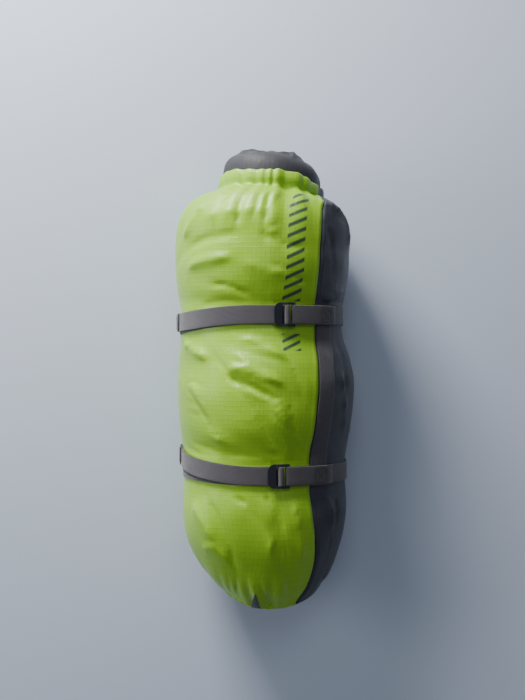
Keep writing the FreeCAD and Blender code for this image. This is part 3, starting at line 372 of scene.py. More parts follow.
def end_point(end, x, along, up_by):
    """Points in the plane of the mouth or the base, moved along its own axis."""
    right, ahead, up = lean_axes(np.float64(end["lean"]), np.float64(end["yaw"]))
    middle = np.array([end["x"] * WIDTH, end["y"] * LENGTH, end["z"] * HEIGHT])
    shape = np.broadcast(x, along, up_by).shape
    spread = [np.broadcast_to(v, shape)[..., None] for v in (x, along, up_by)]
    return middle + right * spread[0] + ahead * spread[1] + up * spread[2]


def end_row(end, radius, along):
    """The round girth at the mouth or the base, as a row of the table in millimetres."""
    x, y, z = end_point(end, 0.0, along, 0.0)
    return [y, x, z, radius, radius, radius, 2.0, end["lean"], end["yaw"], end["seam"]]


girth_scale = np.array([LENGTH, WIDTH, HEIGHT, WIDTH, HEIGHT, HEIGHT, 1, 1, 1, 1])
rows = np.vstack([end_row(MOUTH, MOUTH["radius"] + 2.5, -5.3), GIRTHS * girth_scale,
                  end_row(BASE, BASE["radius"], 0.0)])[::-1]
BASE_END, MOUTH_END = rows[0, 0], rows[-1, 0]
steps = np.diff(rows, axis=0) / np.diff(rows[:, :1], axis=0)
same_way = steps[1:] * steps[:-1] > 0
both = np.where(same_way, steps[1:] + steps[:-1], 1)
inner = np.where(same_way, 2 * steps[1:] * steps[:-1] / both, 0)
row_slopes = np.vstack([steps[:1], inner, steps[-1:]])
print("girths:", len(rows), "from y", round(BASE_END, 1), "to", round(MOUTH_END, 1), "mm")


# %% [markdown]
# The skin is a surface of two parameters: y along the sack, and an angle counted from the top
# towards the right. Its outward direction comes from two small steps on it, crossed.

# %% The skin as a surface
def girth(y):
    """All columns at places y: cubic between rows, with the slopes worked out above."""
    y = np.clip(y, BASE_END, MOUTH_END)
    i = np.clip(np.searchsorted(rows[:, 0], y, side="right") - 1, 0, len(rows) - 2)
    span = (rows[i + 1, 0] - rows[i, 0])[..., None]
    t = (y[..., None] - rows[i][..., :1]) / span
    return (rows[i] * (2 * t ** 3 - 3 * t ** 2 + 1) + row_slopes[i] * span * (t ** 3 - 2 * t ** 2 + t)
            + rows[i + 1] * (3 * t ** 2 - 2 * t ** 3) + row_slopes[i + 1] * span * (t ** 3 - t ** 2))


def sine_cosine(degrees):
    """Sine and cosine of angles given in degrees."""
    return np.sin(np.radians(degrees)), np.cos(np.radians(degrees))


def full_turn(count):
    """Degrees round a full turn, from 0, without coming back to it."""
    return np.linspace(0, 360, count, endpoint=False)


def outline(g, angle):
    """Superellipse |side/half|^n + |high/tall|^n = 1 at an angle, and its outward direction."""
    s, c = sine_cosine(angle)
    below = c < 0
    n = np.where(below, g[..., 6], 2 + 0.15 * np.minimum(1.0, g[..., 6] - 2))
    half, tall = g[..., 3], np.where(below, g[..., 4], g[..., 5])
    reach = (np.abs(s / half) ** n + np.abs(c / tall) ** n) ** (-1 / n)
    side, high = reach * s, reach * c
    nx = np.sign(s) * np.abs(side / half) ** (n - 1) / half
    nz = np.sign(c) * np.abs(high / tall) ** (n - 1) / tall
    size = np.hypot(nx, nz)
    return side, high, nx / size, nz / size


def skin(y, angle):
    """Middle of the girth + right * side + up * high."""
    y, angle = np.broadcast_arrays(np.asarray(y, float), np.asarray(angle, float))
    g = girth(y)
    side, high, _, _ = outline(g, angle)
    right, _, up = lean_axes(g[..., 7], g[..., 8])
    middle = np.stack([g[..., 1], g[..., 0], g[..., 2]], -1)
    return middle + right * side[..., None] + up * high[..., None]


def unit(v):
    """Vectors divided by their own length."""
    return v / np.linalg.norm(v, axis=-1, keepdims=True)


def skin_out(y, angle):
    """Outward direction: a step round the girth crossed with a step along it."""
    ahead = skin(np.minimum(y + 0.5, MOUTH_END), angle) - skin(np.maximum(y - 0.5, BASE_END), angle)
    return unit(np.cross(skin(y, angle + 0.5) - skin(y, angle - 0.5), ahead))


def ease(x):
    """0 below 0, 1 above 1, and a smooth rise between."""
    x = np.clip(x, 0.0, 1.0)
    return x * x * (3 - 2 * x)


print("top of the widest girth:", skin(130.0, 0.0).round(1))


# %% [markdown]
# A piece is built from a grid of points. The maker below joins them into quads, closes the grid into
# a tube or a ring when asked, caps open ends, turns the faces outwards, and gives the mesh its UV map
# and its finish. Tubes look away from the middle of each row. Open sheets look away from the line
# through the middle of the sack.

# %% Mesh maker
MIDDLE_HIGH = 75.0


def quads(n, m, wrap_rows, wrap_columns):
    """Corner numbers of the quads of an n by m grid."""
    i, j = np.meshgrid(np.arange(n if wrap_rows else n - 1),
                       np.arange(m if wrap_columns else m - 1), indexing="ij")
    below, beside = (i + 1) % n, (j + 1) % m
    return np.stack([i * m + j, i * m + beside, below * m + beside, below * m + j], -1)


def build(name, grid, uv_mm, finishes, tube=False, ring=False, caps=()):
    """Makes the mesh of a grid in millimetres and returns its object."""
    n, m, _ = grid.shape
    corners = quads(n, m, ring, tube)
    points = grid.reshape(-1, 3)
    a, b, c, d = (points[corners[..., k]] for k in range(4))
    middle = (a + b + c + d) / 4
    if tube:
        rows_middle = grid.mean(axis=1)
        away = (rows_middle[corners[:, 0, 0] // m] + rows_middle[corners[:, 0, 3] // m])[:, None] / 2
    else:
        away = middle * (0, 1, 0) + np.array((0, 0, MIDDLE_HIGH))
    inward = np.sum(np.cross(c - a, d - b) * (middle - away)) < 0
    faces = corners.reshape(-1, 4)
    faces = (faces[:, ::-1] if inward else faces).tolist()
    for end in caps:
        loop = list(range((n - 1) * m, n * m)) if end == "last" else list(range(m))[::-1]
        faces.append(loop[::-1] if inward else loop)
    mesh = bpy.data.meshes.new(name)
    mesh.from_pydata(points * 0.001, [], faces)
    layer = mesh.uv_layers.new(name="cloth")
    use = np.empty(len(mesh.loops), dtype=np.int32)
    mesh.loops.foreach_get("vertex_index", use)
    layer.data.foreach_set("uv", (uv_mm.reshape(-1, 2)[use] / 100.0).astype(np.float32).ravel())
    mesh.shade_smooth()
    for finish in finishes:
        mesh.materials.append(finish)
    thing = bpy.data.objects.new(name, mesh)
    bpy.context.scene.collection.objects.link(thing)
    print("%-22s %6d points" % (name, len(points)))
    return thing


def paired(across, along):
    """A grid's UV in millimetres of cloth, from its two directions."""
    return np.stack(np.broadcast_arrays(across, along), -1)


def place(thing, body, stands_for, slot_name):
    """Fixes a piece to its body, and hides the CAD nodes it stands for."""
    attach(thing, body)
    if stands_for:
        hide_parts(*stands_for)


def wall(thing, thickness):
    """Gives a sheet its thickness, inwards."""
    made = thing.modifiers.new("wall", "SOLIDIFY")
    made.thickness, made.offset = thickness * 0.001, -1.0


def finer(thing):
    """Rounds a mesh by one level of subdivision."""
    made = thing.modifiers.new("finer", "SUBSURF")
    made.levels = made.render_levels = 1


def run_length(points, axis=0):
    """Distance travelled along a row of points, starting at 0."""
    steps_along = np.linalg.norm(np.diff(points, axis=axis), axis=-1)
    nothing = np.zeros_like(np.take(steps_along, [0], axis=axis))
    return np.concatenate([nothing, np.cumsum(steps_along, axis=axis)], axis=axis)


# %% [markdown]
# The shell is one tube of cloth, cut larger than the load and held at the mouth, the base, the two
# straps and the ground. Two things shape it. Folds that real sacks of this kind always show are laid
# down by formula: pleats where the cloth is gathered at both ends, puckers beside the straps, and
# long diagonal folds where the load has turned inside. After that a cloth simulation swells and
# buckles the cloth between them by a few millimetres, which softens the drawn look.

# %% The shell's grid and what holds it
STRAPS = {"upper": dict(y=70.0, pull=10.0, bar=19.0, tail=-84.0, swing=3.0),
          "lower": dict(y=-99.25, pull=-3.0, bar=12.4, tail=-93.0, swing=14.0)}
ALONG, AROUND = 132, 172
HALF_WEBBING = 10.0
shell_y = np.linspace(MOUTH_END, BASE_END, ALONG)[:, None] * np.ones((1, AROUND))
turn = full_turn(AROUND)[None, :]
shell_angle = girth(shell_y)[..., 9] + turn
skin_grid = skin(shell_y, shell_angle)
skin_normal = skin_out(shell_y, shell_angle)
from_top = (shell_angle + 180) % 360 - 180


def pulled(strap, angle):
    """How far a strap's middle is drawn along the sack, at an angle from the top."""
    angle = (angle + 180) % 360 - 180
    right = 0.7 * ease((angle - 100) / 80)
    left = np.where(angle > -90, ease((-8 - angle) / 82), 1.0 - 0.3 * (-90 - angle) / 90)
    return -strap["pull"] * np.where(angle > -8, right, left)


beside = np.min([np.abs(shell_y - s["y"] - pulled(s, from_top)) for s in STRAPS.values()], axis=0)
free = ease((beside - HALF_WEBBING) / 5.0) * ease((skin_grid[..., 2] - 2.0) / 6.0)
print("points that nothing holds:", int((free > 0.5).sum()), "of", free.size)


# %% [markdown]
# A fold is a ridge or a valley along a bowed line. Its line is given as it is seen from above, and
# it is laid on the unrolled cloth, where one unit is a millimetre both ways. Pleats are rounded
# ridges with sharp valleys between them, and their spacing wanders.

# %% Folds by formula
# From x, y to x, y as seen from above, then height, width and bow, all in millimetres.
FOLDS = ((-86, 138, -20, 152, -1.5, 6.5, 5), (-8, 156, 52, 138, -1.6, 6, -3),
         (-70, 170, 10, 176, 1.0, 8, 3),
         (-84, 118, -30, 128, 1.5, 7, 5), (-30, 128, 46, 112, 1.2, 8, -4),
         (-70, 190, -88, 150, 1.6, 6, 3),
         (-62, 104, -12, 88, -1.9, 5, 3), (2, 124, 58, 96, -1.3, 6, 4), (-36, 192, -28, 158, -1.6, 5, 2),
         (-74, 48, 20, -86, -2.8, 8, 8), (-88, 12, -48, -80, 2.0, 8, 6), (-40, 36, 34, -64, 2.2, 6, 9),
         (-46, 14, 22, -6, 2.6, 5, 6), (-50, 4, 14, -22, -2.0, 5, 5), (-88, -4, -56, -60, -2.2, 6, 5),
         (-30, 46, 30, 20, 1.5, 7, 5), (16, 42, 42, -24, -1.6, 6, 4), (26, -12, 44, -78, -1.7, 5, -4),
         (4, -30, 34, -84, 1.4, 5, 4), (-92, 40, -64, 22, 1.8, 6, 3), (-52, -112, 40, -196, -2.6, 8, 8),
         (-74, -118, -34, -196, -2.2, 6, 5), (-78, -178, -42, -186, 1.5, 5, 11),
         (-88, -130, -56, -172, 2.0, 7, 4), (-8, -114, 28, -162, -1.9, 6, 5),
         (-30, -126, 20, -186, 1.8, 7, 8), (12, -170, 42, -214, -1.6, 5, 3),
         (30, -120, 52, -190, 1.4, 6, 4), (-24, -190, -14, -226, 1.8, 4, 1),
         (-10, -192, 0, -230, -1.7, 4, 1),
         (64, 190, 92, 176, 2.4, 5, 4), (90, 186, 94, 140, 2.0, 5, 2), (66, 92, 92, 100, 2.2, 5, -6),
         (70, 170, 78, 110, -1.8, 5, 3), (88, 50, 84, -30, -2.0, 6, 4), (82, 10, 90, -70, 1.8, 5, 3),
         (72, -118, 84, -180, 1.8, 5, 3), (62, -116, 70, -196, -1.8, 5, -3),
         (84, -112, 78, -200, -1.6, 6, 3))
TALLER, NARROWER = 1.9, 0.66
CREASES = 90
MOUTH_PLEATS, BASE_PLEATS = (24, 0.4), (25, 1.9)
ROUND_RADIUS = 95.0
unrolled = np.radians(from_top) * ROUND_RADIUS


def fold(u, v, start, end, height, wide, bow):
    """height * exp(-(distance from a bowed line / wide)^1.5), faded out towards both ends."""
    (u0, v0), (u1, v1) = start, end
    long = math.hypot(u1 - u0, v1 - v0)
    t = ((u - u0) * (u1 - u0) + (v - v0) * (v1 - v0)) / long ** 2
    off = ((v - v0) * (u1 - u0) - (u - u0) * (v1 - v0)) / long - bow * 4 * t * (1 - t)
    fade = ease(np.minimum(t, 1 - t) / 0.3 + 0.15)
    return height * np.exp(-(np.sqrt(off ** 2 + 0.6) / wide) ** 1.5) * fade * ((t > -0.1) & (t < 1.1))


def from_above(x, y):
    """A place seen from above, on the unrolled cloth: radius times the arcsine of x over reach."""
    return ROUND_RADIUS * math.asin(max(-0.98, min(0.98, x / 97.0))), y


def pleats(angle, count, phase):
    """Rounded ridges and sharp valleys round a gathered edge, with wandering spacing."""
    a = np.radians(angle)
    wander = 2.3 * np.sin(3 * a + phase) + 1.7 * np.sin(7 * a + 2 * phase) + 0.8 * np.sin(11 * a)
    size_of = 0.62 + 0.38 * np.sin(5 * a + phase) * np.sin(2 * a + 1.0)
    return (2 * np.abs(np.cos((count * a + wander) / 2)) - 1.2) * size_of


relief = np.zeros_like(unrolled)
for x0, y0, x1, y1, height, wide, bow in FOLDS:
    relief += fold(unrolled, shell_y, from_above(x0, y0), from_above(x1, y1),
                   TALLER * height, NARROWER * wide, bow)
elsewhere = np.zeros_like(unrolled)
for _ in range(CREASES):
    u, v = rng.uniform(-300, 300), rng.uniform(-215, 200)
    way, long = rng.uniform(-1.1, 1.1), rng.uniform(28, 70)
    end = (u + long * math.cos(way), v + long * math.sin(way))
    elsewhere += fold(unrolled, shell_y, (u, v), end, rng.choice((-1, 1)) * rng.uniform(0.8, 2.0),
                      rng.uniform(3.5, 6.5), rng.uniform(-6, 6))
relief += elsewhere * (0.35 + 0.65 * ease((np.abs(unrolled) - 90) / 50))
tug = np.sin(unrolled / 2.9 + 1.7 * np.sin(unrolled / 17.0) + shell_y / 40.0)
near_strap = np.exp(-np.maximum(beside - HALF_WEBBING, 0) / 10)
relief += 0.9 * tug * near_strap * (np.sin(unrolled / 23.0) + 1.4) / 2.4
relief *= free
ragged = 14 * np.sin(np.radians(from_top) * 4 + 1) + 12 * np.sin(np.radians(from_top) * 9)
at_mouth = ease((shell_y - 134 + ragged) / 62)
relief += at_mouth * (2.1 * pleats(from_top, *MOUTH_PLEATS) - 0.4)
at_base = ease((-178 - shell_y) / 34)
relief += at_base * (1.6 * pleats(from_top + 3 * np.sin(shell_y / 9), *BASE_PLEATS) + 0.5)
print("relief from", relief.min().round(1), "to", relief.max().round(1), "mm")


# %% [markdown]
# The simulation pins the cloth by a vertex group and starts from the folded tube. Pressure from the
# load does most of the work. The rest shape is a slightly larger, twisted copy, as slack cloth is,
# but it changes the result little. The cloth could be left as a live modifier, but then everything
# that opens the scene would run it again, so the result is read once and the copy is thrown away.

# %% Cloth simulation
FRAMES, PRESSURE, SLACK, SLIDE_MOST = 20, 500.0, 1.08, 5.0


def settle(start, rest, held, frames, pressure):
    """Runs the cloth for some frames and returns where its points are, in millimetres."""
    plain = np.zeros(start.shape[:2] + (2,))
    thing = build("slack_shell", start, plain, [lime], tube=True)
    thing.shape_key_add(name="Basis")
    key = thing.shape_key_add(name="cut")
    key.data.foreach_set("co", (rest.reshape(-1, 3) * 0.001).astype(np.float32).ravel())
    key.value = 0.0
    group = thing.vertex_groups.new(name="held")
    levels = held.ravel().round(1)
    for level in np.unique(levels[levels > 0]):
        group.add(np.flatnonzero(levels == level).tolist(), float(level), "REPLACE")
    cloth = thing.modifiers.new("cloth", "CLOTH")
    cloth.settings.quality = 6
    cloth.settings.mass = 0.05
    cloth.settings.tension_stiffness = cloth.settings.compression_stiffness = 20.0
    cloth.settings.shear_stiffness = 4.0
    cloth.settings.bending_stiffness = 0.05
    cloth.settings.tension_damping = cloth.settings.compression_damping = 8.0
    cloth.settings.effector_weights.gravity = 0.0
    cloth.settings.use_pressure = True
    cloth.settings.uniform_pressure_force = pressure
    cloth.settings.vertex_group_mass = "held"
    cloth.settings.pin_stiffness = 1.0
    cloth.settings.rest_shape_key = key
    cloth.collision_settings.use_collision = False
    cloth.point_cache.frame_start, cloth.point_cache.frame_end = 1, frames
    for number in range(1, frames + 1):
        bpy.context.scene.frame_set(number)
    settled = thing.evaluated_get(bpy.context.evaluated_depsgraph_get()).to_mesh()
    out = np.empty(len(settled.vertices) * 3, dtype=np.float32)
    settled.vertices.foreach_get("co", out)
    bpy.data.objects.remove(thing)
    bpy.context.scene.frame_set(1)
    return out.reshape(start.shape).astype(float) * 1000.0


folded = skin_grid + skin_normal * relief[..., None]
axis_x, axis_z = girth(shell_y)[..., 1], girth(shell_y)[..., 2]
twist = np.radians(3.0 * np.sin(shell_y / 28.0))
out_x, out_z = (folded[..., 0] - axis_x) * SLACK, (folded[..., 2] - axis_z) * SLACK
loose = np.stack([axis_x + out_x * np.cos(twist) + out_z * np.sin(twist), folded[..., 1] * 1.06,
                  axis_z - out_x * np.sin(twist) + out_z * np.cos(twist)], -1)
end_hold = np.maximum(ease((shell_y - MOUTH_END + 12) / 8), ease((BASE_END + 8 - shell_y) / 6))
held = np.maximum(1 - free, end_hold)
move = np.zeros_like(folded)
move = settle(folded, loose, held, FRAMES, PRESSURE) - folded
lift = np.sum(move * skin_normal, axis=-1)
slide = move - lift[..., None] * skin_normal
slide *= np.minimum(1.0, SLIDE_MOST / np.maximum(np.linalg.norm(slide, axis=-1), 0.001))[..., None]
print("simulated lift: %.1f to %.1f mm, mean %.2f" % (lift.min(), lift.max(), lift.mean()))


# %% [markdown]
# The folds and what the simulation adds are kept within limits, as a sewer would smooth a fold down
# where something lies on it. Nothing stands out under a strap. Under a free end and round a lock the
# cloth stays low, and elsewhere a fold may stand 8 mm out or sink 7 mm in. Nothing goes below the
# ground. Along both seams the cloth rises to a small lip and dips at the stitches.

# %% The finished shell
OUT_MOST, IN_MOST, LOW = 8.0, -7.0, 1.2
TAB_HINGE = -15.6
GROUND = 0.25


def above_ground(points, height=GROUND):
    """Lifts the points that are lower than a height up to it."""
    points[..., 2] = np.maximum(points[..., 2], height)


def waist(strap):
    """A strap's girth as tables: angle and distance round it from the middle bar, in mm."""
    g = girth(np.array([strap["y"]]))[0]
    angles = strap["bar"] + np.arange(-360, 360.01, 0.25)
    side, high, _, _ = outline(g, angles)
    places = run_length(np.stack([side, high], -1))
    made = dict(strap, g=g, angles=angles, places=places - np.interp(strap["bar"], angles, places))
    made["long"] = np.interp(strap["bar"] + 360, angles, made["places"])
    made["hinge"] = TAB_HINGE
    made["end"] = np.interp(strap["tail"], angles, made["places"])
    made["seam"] = np.interp(g[9], angles, made["places"])
    return made


WAISTS = {name: waist(strap) for name, strap in STRAPS.items()}


def tail_swing(w, at):
    """How far the free end has swung towards the mouth at a place."""
    return w["swing"] * np.maximum(0.0, (at - w["hinge"]) / (w["end"] - w["hinge"])) ** 2


ceiling = np.full_like(shell_y, OUT_MOST)
for w in WAISTS.values():
    at = np.interp((from_top - w["bar"] + 180) % 360 - 180 + w["bar"], w["angles"], w["places"])
    swung = tail_swing(w, at)
    near = np.abs(shell_y - w["y"] - pulled(w, from_top) - swung)
    over = ease((near - 10.5) / 5.0)
    over = np.where((at < 12) & (at > w["end"] - 8), over, 1.0)
    lock = np.where((at < 14) & (at > -22), ease((near - 13.0) / 6.0), 1.0)
    ceiling = np.minimum(ceiling, LOW + 6.8 * np.minimum(over, lock))
rise_by = np.clip(1.55 * relief + 1.2 * (lift - 0.8 * free), IN_MOST, ceiling)
rise_by = np.where((free < 0.05) & (beside < 12), np.minimum(rise_by, 0.0), rise_by)
shell = skin_grid + skin_normal * rise_by[..., None] + slide
above_ground(shell)

around_mm = run_length(np.concatenate([shell, shell[:, :1]], axis=1), axis=1)
seam_off = np.minimum(around_mm[:, :-1], around_mm[:, -1:] - around_mm[:, :-1])
seam_lip = 0.9 * np.exp(-((seam_off - 3.2) / 2.2) ** 2) - 1.3 * np.exp(-(seam_off / 1.3) ** 2)
shell += skin_normal * (seam_lip * np.where(beside < 11, 0.0, 1.0))[..., None]
above_ground(shell)
print("shell girth at the middle:", around_mm[AROUND // 2, -1].round(0), "mm")


# %% [markdown]
# At the mouth the same cloth is turned over into a tunnel for the drawcord and bunched by it. The
# panels are therefore carried on over the mouth: out over a raised, pleated crest that stands in front
# of the dust flap, and back in to the packed goods. At the base they are rolled over the binding.

# %% The gathered lip, the turned base edge, and the two panels
# From the goods out over the crest: distance from the mouth's middle, and height out of its plane.
CREST = np.array(((49.4, -2.0), (49.5, 1.0), (50.6, 3.6), (52.8, 4.6), (55.3, 4.7), (56.3, 6.4),
                  (56.9, 9.0), (57.6, 9.5), (58.3, 7.6), (58.9, 4.4), (59.0, 0.8), (58.2, -2.6)))
round_mouth = shell_angle[0]
gather = pleats(round_mouth, *MOUTH_PLEATS)
tall = np.sin(np.radians(round_mouth) * 2.0 + 1.9) + 0.8 * np.sin(np.radians(round_mouth) * 5.0)
beside_flap_hinge = ease((np.abs((round_mouth - 90 + 180) % 360 - 180) - 25) / 30)
proud = ease((CREST[:, 0] - 55.4) / 2.0)[:, None]
crest_out = CREST[:, 1:] + proud * (0.9 * gather + 1.5 * tall - 3.2 * (1 - beside_flap_hinge))[None, :]
crest_reach = CREST[:, :1] + proud * (1.5 * gather + 0.4 * tall)[None, :]
s, c = sine_cosine(round_mouth)
lip = end_point(MOUTH, crest_reach * s, crest_out, crest_reach * c)
round_base = shell_angle[-1]
s, c = sine_cosine(round_base)
turned_out = np.array([[-1.2], [-2.3]]) + 0 * round_base
turned_reach = np.array([[60.6], [60.2]]) + 0.5 * pleats(round_base, *BASE_PLEATS)
turned = end_point(BASE, turned_reach * s, turned_out, turned_reach * c)
above_ground(turned)
whole = np.concatenate([lip, shell, turned])
along_lip = MOUTH_END + run_length(np.concatenate([shell[:1], lip[::-1]]))[:0:-1]
along_mm = np.concatenate([along_lip, shell_y, shell_y[-1:] - np.array([[1.3], [2.5]])])
around_mm = np.concatenate([np.repeat(around_mm[:1], len(lip), 0), around_mm,
                            np.repeat(around_mm[-1:], len(turned), 0)])

half = AROUND // 2
columns = np.arange(half, AROUND + 1) % AROUND
uv_main = np.stack([around_mm[:, -1:] - around_mm[:, half:], along_mm[:, columns]], -1)
main_piece = build("shell_main", whole[:, columns], uv_main, [lime])
place(main_piece, "sack", ["main_panel", "mouth_hem"], "lime_ripstop")
uv_side = np.stack([around_mm[:, :half + 1], along_mm[:, :half + 1]], -1)
side_piece = build("shell_side", whole[:, :half + 1], uv_side, [slate])
place(side_piece, "sack", ["side_panel"], "slate_ripstop")
for piece in (main_piece, side_piece):
    wall(piece, FABRIC)
    finer(piece)

# %% [markdown]
# Webbing is flat, thick and stiff across its width, so it is not simulated: it is a profile carried
# along a path. The profile is a flat bar with rounded, slightly thinner edges. The path of each strap
# is worked out round the sack, counted in millimetres from the lock's middle bar: a short leg under
# the box stitching, a turn round the anchor bar, and the long way round to the lock again.

# %% Webbing maker
WIDE, THICK, LEAVE = 2 * HALF_WEBBING, 1.4, 0.4
BAR, BAR_PLAY = 1.5, 0.15
BAR_HUG = BAR + BAR_PLAY + THICK / 2
LIE = LEAVE + THICK / 2
LAYER = THICK + GAP
EDGE_ACROSS = np.array((-1, -0.985, -0.94, -0.86, -0.45, 0, 0.45, 0.86, 0.94, 0.985, 1))
EDGE_UP = np.array((0, 0.62, 0.9, 1, 1, 1, 1, 1, 0.9, 0.62, 0))
PROFILE_ACROSS = np.concatenate([EDGE_ACROSS, EDGE_ACROSS[-2:0:-1]])
PROFILE_UP = np.concatenate([EDGE_UP, -EDGE_UP[-2:0:-1]])
ANCHOR_AT, BOX_FIRST, BOX_LAST = 7.2, 2.5, 16.5


def on_waist(w, at, lift):
    """Points and outward directions at places round a waist, lifted off the skin."""
    side, high, nx, nz = outline(w["g"], np.interp(at, w["places"], w["angles"]))
    out = np.stack([nx, np.zeros_like(nx), nz], -1)
    spot = np.stack([w["g"][1] + side, np.full_like(side, w["y"]), w["g"][2] + high], -1)
    return spot + out * np.asarray(lift, float)[..., None], out


def strap_shift(w, at):
    """How far the strap is drawn along the sack at places round a waist."""
    return pulled(w, np.interp(at, w["places"], w["angles"]))


def ribbon(name, middle, ways, shifts):
    """Profile of webbing along a path. ways is its thick direction; shifts move it along Y."""
    across, up = PROFILE_ACROSS * WIDE / 2, PROFILE_UP * THICK / 2
    grid = middle[:, None, :] + ways[:, None, :] * up[None, :, None]
    grid = grid + np.stack([0 * grid[..., 0], shifts[:, None] + across[None, :], 0 * grid[..., 0]], -1)
    along = run_length(middle)[:, None] * np.ones(len(across))
    uv = np.stack([across[None, :] + WIDE + 0 * along, along], -1)
    return build(name, grid, uv, [strap_weave], tube=True, caps=("first", "last"))


def over_seam_webbing(w, at):
    """1 over the seam webbing and 0 away from it."""
    return ease((at - w["seam"] + 7) / 5) * (1 - ease((at - w["seam"] - WIDE - 2) / 7))


def strap_lift(w, at, upper):
    """Height of the webbing's middle over the skin, for its short leg or its upper one."""
    rise = (LAYER + GAP) * over_seam_webbing(w, at)
    if not upper:
        return LIE + rise
    first, last = w["seam"] + BOX_FIRST, w["seam"] + BOX_LAST
    stacked = LIE + 2 * LAYER + GAP
    down = ease((at - ANCHOR_AT) / (first - ANCHOR_AT))
    leaving = LIE + 2 * BAR_HUG + (stacked - LIE - 2 * BAR_HUG) * down
    off = ease((at - last - 3) / 12)
    return np.where(at < first, leaving, LIE + (LAYER + rise) * (1 - off) + rise * off)


def arc_round(centre, out, radius, start, end, count):
    """Points on an arc in a waist's plane, and their spokes. 90 degrees is outwards."""
    a = np.radians(np.linspace(start, end, count))[:, None]
    along = np.cross(out, np.array([0.0, -1.0, 0.0]))
    spoke = along * np.cos(a) + out * np.sin(a)
    return centre + spoke * radius, spoke


def joined(*runs):
    """Runs of points, directions and places, each kind put end to end."""
    return [np.concatenate(part) for part in zip(*runs)]


def make_strap(name, w):
    """Short leg, turn round the anchor bar, and the long way round."""
    last = w["seam"] + BOX_LAST + 2.0
    at = np.linspace(last, 8.7, 30)
    under, out = on_waist(w, at, strap_lift(w, at, False))
    bar_spot, bar_out = on_waist(w, np.array([ANCHOR_AT]), np.array([LIE + BAR_HUG]))
    bend, spokes = arc_round(bar_spot[0], bar_out[0], BAR_HUG, -90, -270, 14)
    far = np.concatenate([np.linspace(9.2, last + 14, 40), np.linspace(last + 17, w["long"] + 0.8, 230)])
    over, far_out = on_waist(w, far, strap_lift(w, far, True))
    points, ways, places = joined((under, -out, at), (bend, spokes, np.full(14, ANCHOR_AT)),
                                  (over, far_out, far))
    piece = ribbon(name + "_strap_webbing", points, ways, strap_shift(w, places))
    place(piece, "sack", [name + "_strap"], "webbing")


for name, w in WAISTS.items():
    make_strap(name, w)

# %% [markdown]
# The free side of each strap comes out from under the lock's front bar and lies along the strap to the
# left, where it is folded back on itself and sewn. It is one piece of webbing, so it is modelled as
# one, in a fixed shape whose free end swings towards the mouth beyond the lock's tab. The short turn
# over the middle bar tilts with the lock.

# %% Free ends and the turns over the middle bars
def make_tail(name, w):
    """Out of the lock, round the left side, then folded back for the hem."""
    lift, last = LIE + LAYER, w["end"]
    at = np.concatenate([np.linspace(-6.4, w["hinge"] - 8, 24), np.linspace(w["hinge"] - 10, last, 80)])
    out_run, out = on_waist(w, at, np.full(len(at), lift))
    spot, turn_out = on_waist(w, np.array([last - 0.4]), np.array([lift + LAYER / 2]))
    bend, spokes = arc_round(spot[0], turn_out[0], LAYER / 2, -100, -260, 9)
    back = np.linspace(last + 1.2, last + 11.0, 12)
    back_run, back_out = on_waist(w, back, np.full(len(back), lift + LAYER))
    points, ways, places = joined((out_run, out, at), (bend, -spokes, np.full(9, last)),
                                  (back_run, -back_out, back))
    shifts = strap_shift(w, places) + tail_swing(w, np.minimum(places, w["hinge"]))
    piece = ribbon(name + "_tail_webbing", points, ways, shifts)
    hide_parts(name + "_tail_root", name + "_tail")
    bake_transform(piece)


def make_wrap(name, w):
    """The turn over the middle bar, in the ladder lock's own plane."""
    middle_up = LEAVE + THICK + GAP + BAR_HUG + THICK / 2
    spot, out = on_waist(w, np.array([0.0]), np.array([middle_up]))
    points, spokes = arc_round(spot[0], out[0], BAR_HUG, -48, 228, 26)
    piece = ribbon(name + "_wrap_webbing", points, spokes, np.zeros(26))
    place(piece, name + "_lock", [name + "_strap_wrap"], "webbing")


for name, w in WAISTS.items():
    make_tail(name, w)
    make_wrap(name, w)

# %% [markdown]
# Webbing also runs along the right-hand seam between the straps, where it spreads their pull, and
# narrow tape covers both long seams inside. Each is the same profile laid on the skin, along it
# instead of round it.

# %% Webbing and tape along the seams
def skin_band(name, y_low, y_high, from_angle, first_mm, wide, lift, thick, finish):
    """A strip along the sack, first_mm round it from an angle that depends on the girth."""
    y = np.linspace(y_high, y_low, int((y_high - y_low) / 3.0))[:, None]
    across = PROFILE_ACROSS[None, :] * wide / 2 + wide / 2
    up = PROFILE_UP[None, :] * thick / 2
    g = girth(y[:, 0])
    per_mm = np.degrees(2 / (g[:, 3] + g[:, 5]))[:, None]
    angle = from_angle(g)[:, None] + (first_mm + across) * per_mm
    grid = skin(y, angle) + skin_out(y, angle) * (lift + thick / 2 + up)[..., None]
    uv = paired(across, y + 300.0)
    return build(name, grid, uv, [finish], tube=True, caps=("first", "last"))


seam_strip = skin_band("seam_webbing_band", -110.25, 81.0, lambda g: g[:, 9], 0.0,
                       WIDE, GAP, THICK, strap_weave)
place(seam_strip, "sack", ["seam_webbing"], "webbing")
for name, back in (("near_seam_tape", 0.0), ("far_seam_tape", 180.0)):
    strip = skin_band(name + "_strip", rows[3, 0], rows[-3, 0], lambda g: g[:, 9] - back, -6.0, 12.0,
                      -(FABRIC + GAP + 0.6), 0.6, tape_weave)
    place(strip, "sack", [name], "seam_tape")

# %% [markdown]
# The drawcord runs round inside that tunnel and leaves it below, through the eyelet and the cord lock,
# to a knot in each end. Its braid is two sets of strands that cross, so its surface is a tube with
# two opposed helices in its radius. The knots are one overhand turn each.

# %% Drawcord and knots
CORD, LEG, CORD_TURN = 1.25, 1.65, 4.0
HANG, TUNNEL = 78.0, MOUTH["radius"]


